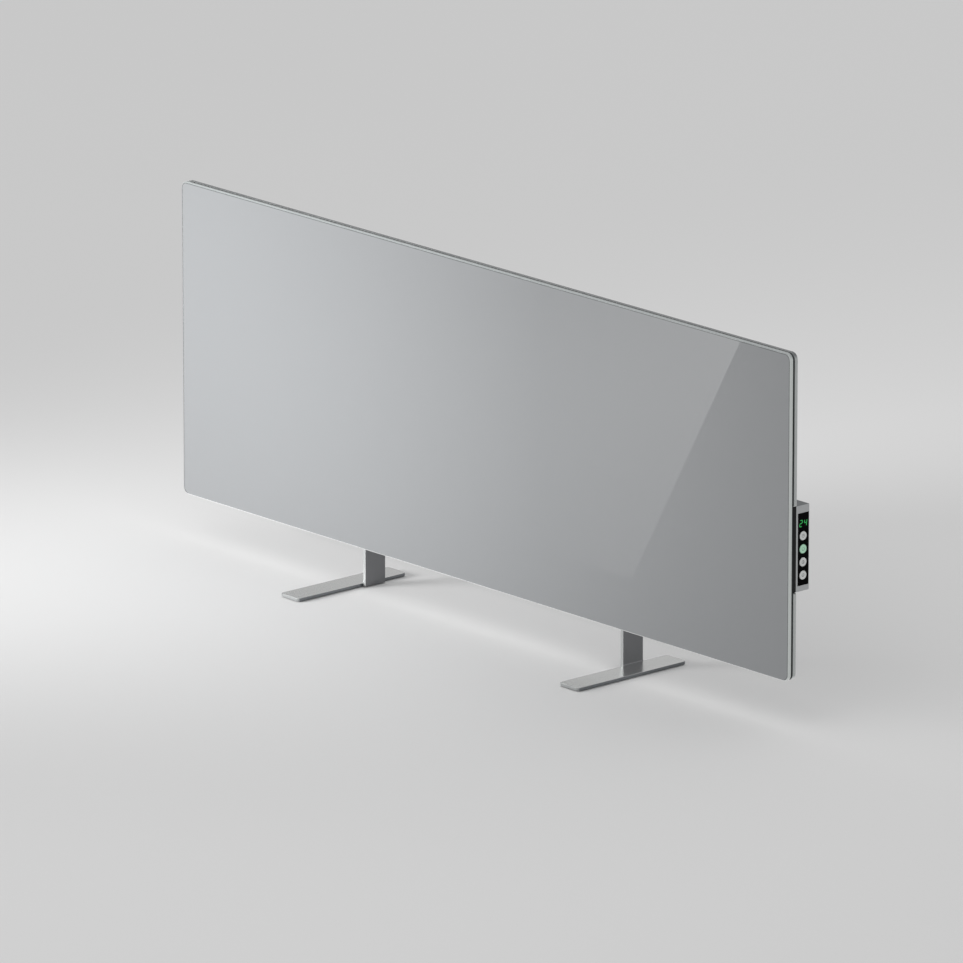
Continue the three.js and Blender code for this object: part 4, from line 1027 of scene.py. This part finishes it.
def model_button(name):
    """One button around its packed place, in its finished size."""
    low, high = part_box(f"button_{name}")
    centre = (low + high) / 2
    collar_radius = (high.y - low.y) / 2
    cap_back = high.x - CAP_DEPTH
    cap = start_rod(f"button_{name}_fine", ((cap_back + high.x) / 2, centre.y, centre.z), BUTTON_RADIUS,
                    high.x - cap_back, "X", 72)
    choose(cap, "FACE", lies_at(0, cap_back))
    step_to(collar_radius / BUTTON_RADIUS, centre)
    extrude(-COLLAR_DEPTH, 0, 0)
    step_to(STEM_RADIUS / collar_radius, centre)
    extrude(low.x - cap_back + COLLAR_DEPTH, 0, 0)
    done()
    bevel_edges(cap, rim_at(0, high.x), RIM_ROUND, 5)
    for ring in DISH_RINGS:
        choose(cap, "FACE", lambda face: face.normal.x > 0.99 and len(face.verts) > 8)
        bpy.ops.mesh.inset(thickness=ring, depth=-0.5 * DISH)
        done()
    smooth(cap, 40)
    return cap


for name in BUTTON_NAMES:
    cap = model_button(name)
    if name == "power":
        glow = lit_plastic("button_lit_plastic", "A9CDB6", "8FCBA6", button_middles[name], 9 * MM, 0.3)
        mount(cap, "power_button", "button_lit", glow, "button_power")
    else:
        mount(cap, f"{name}_button", "button", button_plastic, f"button_{name}")

# %% [markdown]
# ## Signs on the buttons
# Each cap carries a plain sign, printed in grey: a clock, a power mark, and a plus and a minus in
# rings. A ring is a filled circle that is inset, with the inner face deleted; the power mark loses
# a few faces at the top as well. The flat shape is extruded by the thickness of the print.

# %% Signs
PRINT = 0.03 * MM
print_grey = grained("printed_grey", "3C403F", 0.6, shade=0.08, grain=5000.0)


def flat_ring(centre, outer, width, gap=0.0):
    """A flat ring that faces +X, open at the top by an angle."""
    deselect_all()
    bpy.ops.mesh.primitive_circle_add(vertices=60, radius=outer, fill_type="NGON", location=centre,
                                      rotation=(0, math.pi / 2, 0))
    ring = named("ring")
    choose(ring, "FACE", lambda face: True)
    bpy.ops.mesh.inset(thickness=width)
    bpy.ops.mesh.delete(type="FACE")
    done()

    def in_gap(face):
        place = face.calc_center_median() - Vector(centre)
        return abs(math.atan2(place.y, place.z)) < gap / 2

    if gap and choose(ring, "FACE", in_gap):
        bpy.ops.mesh.delete(type="FACE")
    done()
    choose(ring, "FACE", lambda face: True)
    extrude(PRINT, 0, 0)
    bpy.ops.mesh.select_all(action="SELECT")
    bpy.ops.mesh.normals_make_consistent(inside=False)
    done()
    return ring


def flat_bar(centre, start, end, width):
    """A flat bar with clipped ends between two places, given across and up from a centre."""
    first, last = Vector((0, *start)), Vector((0, *end))
    along = last - first
    bar = start_block("bar", (0, -along.length / 2, -width / 2), (PRINT, along.length / 2, width / 2))
    bevel_edges(bar, runs_along(0), 0.3 * width, 2)
    bar.data.transform(Matrix.Rotation(math.atan2(along.z, along.y), 4, "X"))
    bar.data.transform(Matrix.Translation(Vector(centre) + (first + last) / 2))
    return bar


def join_pieces(name, parts):
    deselect_all()
    for part in parts:
        part.select_set(True)
    bpy.context.view_layer.objects.active = parts[0]
    bpy.ops.object.join()
    parts[0].name = parts[0].data.name = name
    return parts[0]


RING = 2.1 * MM
LINE = 0.42 * MM
SIGN_BARS = {
    "timer": [((0, 0), (0, 0.62)), ((0, 0), (0.42, 0))],
    "power": [((0, 0.35), (0, 1.05))],
    "warmer": [((-0.5, 0), (0.5, 0)), ((0, -0.5), (0, 0.5))],
    "cooler": [((-0.5, 0), (0.5, 0))],
}
for name, bars in SIGN_BARS.items():
    middle = button_middles[name]
    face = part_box(f"button_{name}")[1].x - DISH - 0.4 * PRINT
    centre = (face, middle.y, middle.z)
    parts = [flat_ring(centre, RING, LINE, math.radians(70) if name == "power" else 0.0)]
    for start, end in bars:
        parts.append(flat_bar(centre, [RING * part for part in start], [RING * part for part in end], LINE))
    sign = join_pieces(f"sign_{name}", parts)
    mount(sign, f"{name}_button", "switch_black", print_grey)

# %% [markdown]
# ## The digits
# The display shines through the black face as two slanted digits of seven bars. A bar is a thin
# block whose four corners are bevelled by half its width, which gives the pointed ends. The bars
# that are off show as a slightly paler black, as those of a real display do in daylight.

# %% Digits
DIGIT_HEIGHT = 8.6 * MM
DIGIT_WIDTH = 4.6 * MM
DIGIT_PITCH = 7.2 * MM
DIGIT_SLANT = 0.14
BAR = 1.0 * MM
BARS = {  # (across, up, upright) in half widths and half heights
    "top": (0, 1, False),
    "middle": (0, 0, False),
    "bottom": (0, -1, False),
    "upper_left": (-1, 0.5, True),
    "upper_right": (1, 0.5, True),
    "lower_left": (-1, -0.5, True),
    "lower_right": (1, -0.5, True),
}
LIT_BARS = {
    2: {"top", "upper_right", "middle", "lower_left", "bottom"},
    4: {"upper_left", "upper_right", "middle", "lower_right"},
}
display_middle = centre_of("display_module")
half_width = (DIGIT_WIDTH - BAR) / 2
half_height = (DIGIT_HEIGHT - BAR) / 2


def model_bar(digit_place, across, up, is_upright):
    """One bar of a digit on the fascia's face, slanted with its digit."""
    length = (half_height if is_upright else 2 * half_width) - 0.2 * MM
    size = (BAR / 2, length / 2) if is_upright else (length / 2, BAR / 2)
    bar = start_block("bar", (0, -size[0], -size[1]), (PRINT, size[0], size[1]))
    bevel_edges(bar, runs_along(0), 0.98 * BAR / 2, 1)
    slant = Matrix.Identity(4)
    slant[1][2] = DIGIT_SLANT
    bar.data.transform(Matrix.Translation((0, across * half_width, up * half_height)))
    bar.data.transform(slant)
    bar.data.transform(Matrix.Translation((face_front - 0.3 * PRINT, digit_place, display_middle.z)))
    return bar


unlit_grey = grained("unlit_digits", "0D0E0D", 0.5, shade=0.2, grain=3000.0, Specular_IOR_Level=0.06)
lit, unlit = [], []
for digit, side in ((2, -1), (4, 1)):
    digit_place = display_middle.y + side * DIGIT_PITCH / 2
    for name, (across, up, is_upright) in BARS.items():
        bar = model_bar(digit_place, across, up, is_upright)
        (lit if name in LIT_BARS[digit] else unlit).append(bar)
digit_glow = lit_plastic("digit_glow", "1E6A35", "2FD967", display_middle, 14 * MM, 0.6)
mount(join_pieces("digits_lit", lit), "heater", "button_lit", digit_glow)
mount(join_pieces("digits_unlit", unlit), "heater", "fascia_black", unlit_grey)

# %% [markdown]
# ## The floor
# The heater stands on one wide sheet of pale paper that reaches far beyond the picture. From this
# camera, which looks down, it is the backdrop as well. A disc is enough for it, and its grain is
# so faint that it only keeps the paper from looking like a flat fill.

# %% Floor
FLOOR_RADIUS = 30.0
deselect_all()
bpy.ops.mesh.primitive_circle_add(vertices=128, radius=FLOOR_RADIUS, fill_type="NGON")
floor = named("floor")
paper = grained("floor_paper", "E2E2E2", 0.9, shade=0.02, spread=0.02, grain=300.0, cloud=1.0,
                height=0.0, Specular_IOR_Level=0.0)
floor.data.materials.append(paper)
print("floor reaches", FLOOR_RADIUS, "m out")

# %% [markdown]
# ## Light
# One soft lamp stands at the left front, a little above the glass. Its light falls off along the
# pane, so the glass is bright at that end and dark at the other. A lamp overhead lifts the floor in
# front. A grey sky does the rest: it is brighter overhead than at the horizon, as in a studio with
# a lit ceiling, and that puts a sheen on the feet. The lamps are hidden from the camera.

# %% Lamps and sky
def softbox(name, place, target, width, height, power, spread=180):
    """A rectangular lamp that faces a target and doesn't show in the picture itself."""
    lamp = bpy.data.lights.new(name, "AREA")
    lamp.shape = "RECTANGLE"
    lamp.size, lamp.size_y = width, height
    lamp.energy = power
    lamp.spread = math.radians(spread)
    holder = bpy.data.objects.new(name, lamp)
    holder.location = place
    holder.rotation_euler = (Vector(place) - Vector(target)).to_track_quat("Z", "Y").to_euler()
    holder.visible_camera = False
    bpy.context.scene.collection.objects.link(holder)
    return holder


lamps = [
    softbox("key_lamp", (-1.2, -1.5, 0.55), (-0.45, 0.0, 0.29), 0.8, 0.6, 4.35, spread=52),
    softbox("floor_lamp", (0.25, -1.5, 2.0), (0.15, -0.8, 0.0), 1.6, 1.2, 1.3, spread=100),
]

HORIZON_LIGHT = 0.45
OVERHEAD_LIGHT = 0.93


def light_sky():
    """A neutral sky that gets brighter from the horizon to the zenith."""
    sky = bpy.data.worlds.new("sky")
    sky.use_nodes = True
    tree = sky.node_tree
    height = split(tree, own_place(tree))["Z"]
    light = remap(tree, height, To_Min=HORIZON_LIGHT, To_Max=OVERHEAD_LIGHT)
    feed(tree, tree.nodes["Background"], Color=light)
    return sky


bpy.context.scene.world = light_sky()
bpy.context.scene.view_settings.view_transform = "Standard"
print("lamps:", [lamp.name for lamp in lamps])

# %% [markdown]
# ## The sheen in the glass
# A studio puts a glowing card where a gloss surface mirrors it, so that the surface reads as glass.
# This card stands in front of the panel and only glossy rays see it. Its right edge leans, which
# draws a slanted line in the glass near the right end. It glows most at that edge and at the top.
# The card is a plane that is cut along the leaning line with the bisect operator.

# %% Card
CARD_FRONT = -0.3  # the card's place along Y
CARD_LEFT = -0.21
CARD_RIGHT = 0.20
CARD_HEIGHT = 0.4
LEAN_FOOT = Vector((-0.046, CARD_FRONT, 0))  # the leaning edge runs from here up through the head
LEAN_HEAD = Vector((0.148, CARD_FRONT, 0.342))
CARD_GLOW = 1.4
LOWER_GLOW = 0.55  # the share of the glow that is left at the card's foot

deselect_all()
card_middle = ((CARD_LEFT + CARD_RIGHT) / 2, CARD_FRONT, CARD_HEIGHT / 2)
bpy.ops.mesh.primitive_plane_add(size=1, location=card_middle, rotation=(math.pi / 2, 0, 0))
bpy.context.object.scale = (CARD_RIGHT - CARD_LEFT, CARD_HEIGHT, 1)
card = named("sheen_card")
lean = (LEAN_HEAD - LEAN_FOOT).normalized()
choose(card, "FACE", lambda face: True)
bpy.ops.mesh.bisect(plane_co=LEAN_FOOT, plane_no=lean.cross(Vector((0, 1, 0))), clear_inner=True,
                    clear_outer=False)
done()


def card_glow():
    """Glows more to the right and to the top, and lets through what is behind it."""
    material, tree, shader = new_material("card_glow")
    place = split(tree, own_place(tree))
    across = remap(tree, place["X"], From_Min=CARD_LEFT, From_Max=LEAN_HEAD.x)
    upwards = remap(tree, place["Z"], From_Max=LEAN_HEAD.z, To_Min=LOWER_GLOW)
    share = calculate(tree, "MULTIPLY", across, upwards)
    glow = feed(tree, add_node(tree, "Emission"), Color=share, Strength=CARD_GLOW)
    both = add_node(tree, "AddShader")
    put(tree, both.inputs[0], glow.outputs[0])
    put(tree, both.inputs[1], add_node(tree, "BsdfTransparent").outputs[0])
    feed(tree, tree.nodes["Material Output"], Surface=both.outputs[0])
    tree.nodes.remove(shader)
    return material


card.data.materials.append(card_glow())
card.visible_camera = card.visible_diffuse = card.visible_shadow = card.visible_transmission = False
print("card has", len(card.data.vertices), "corners")
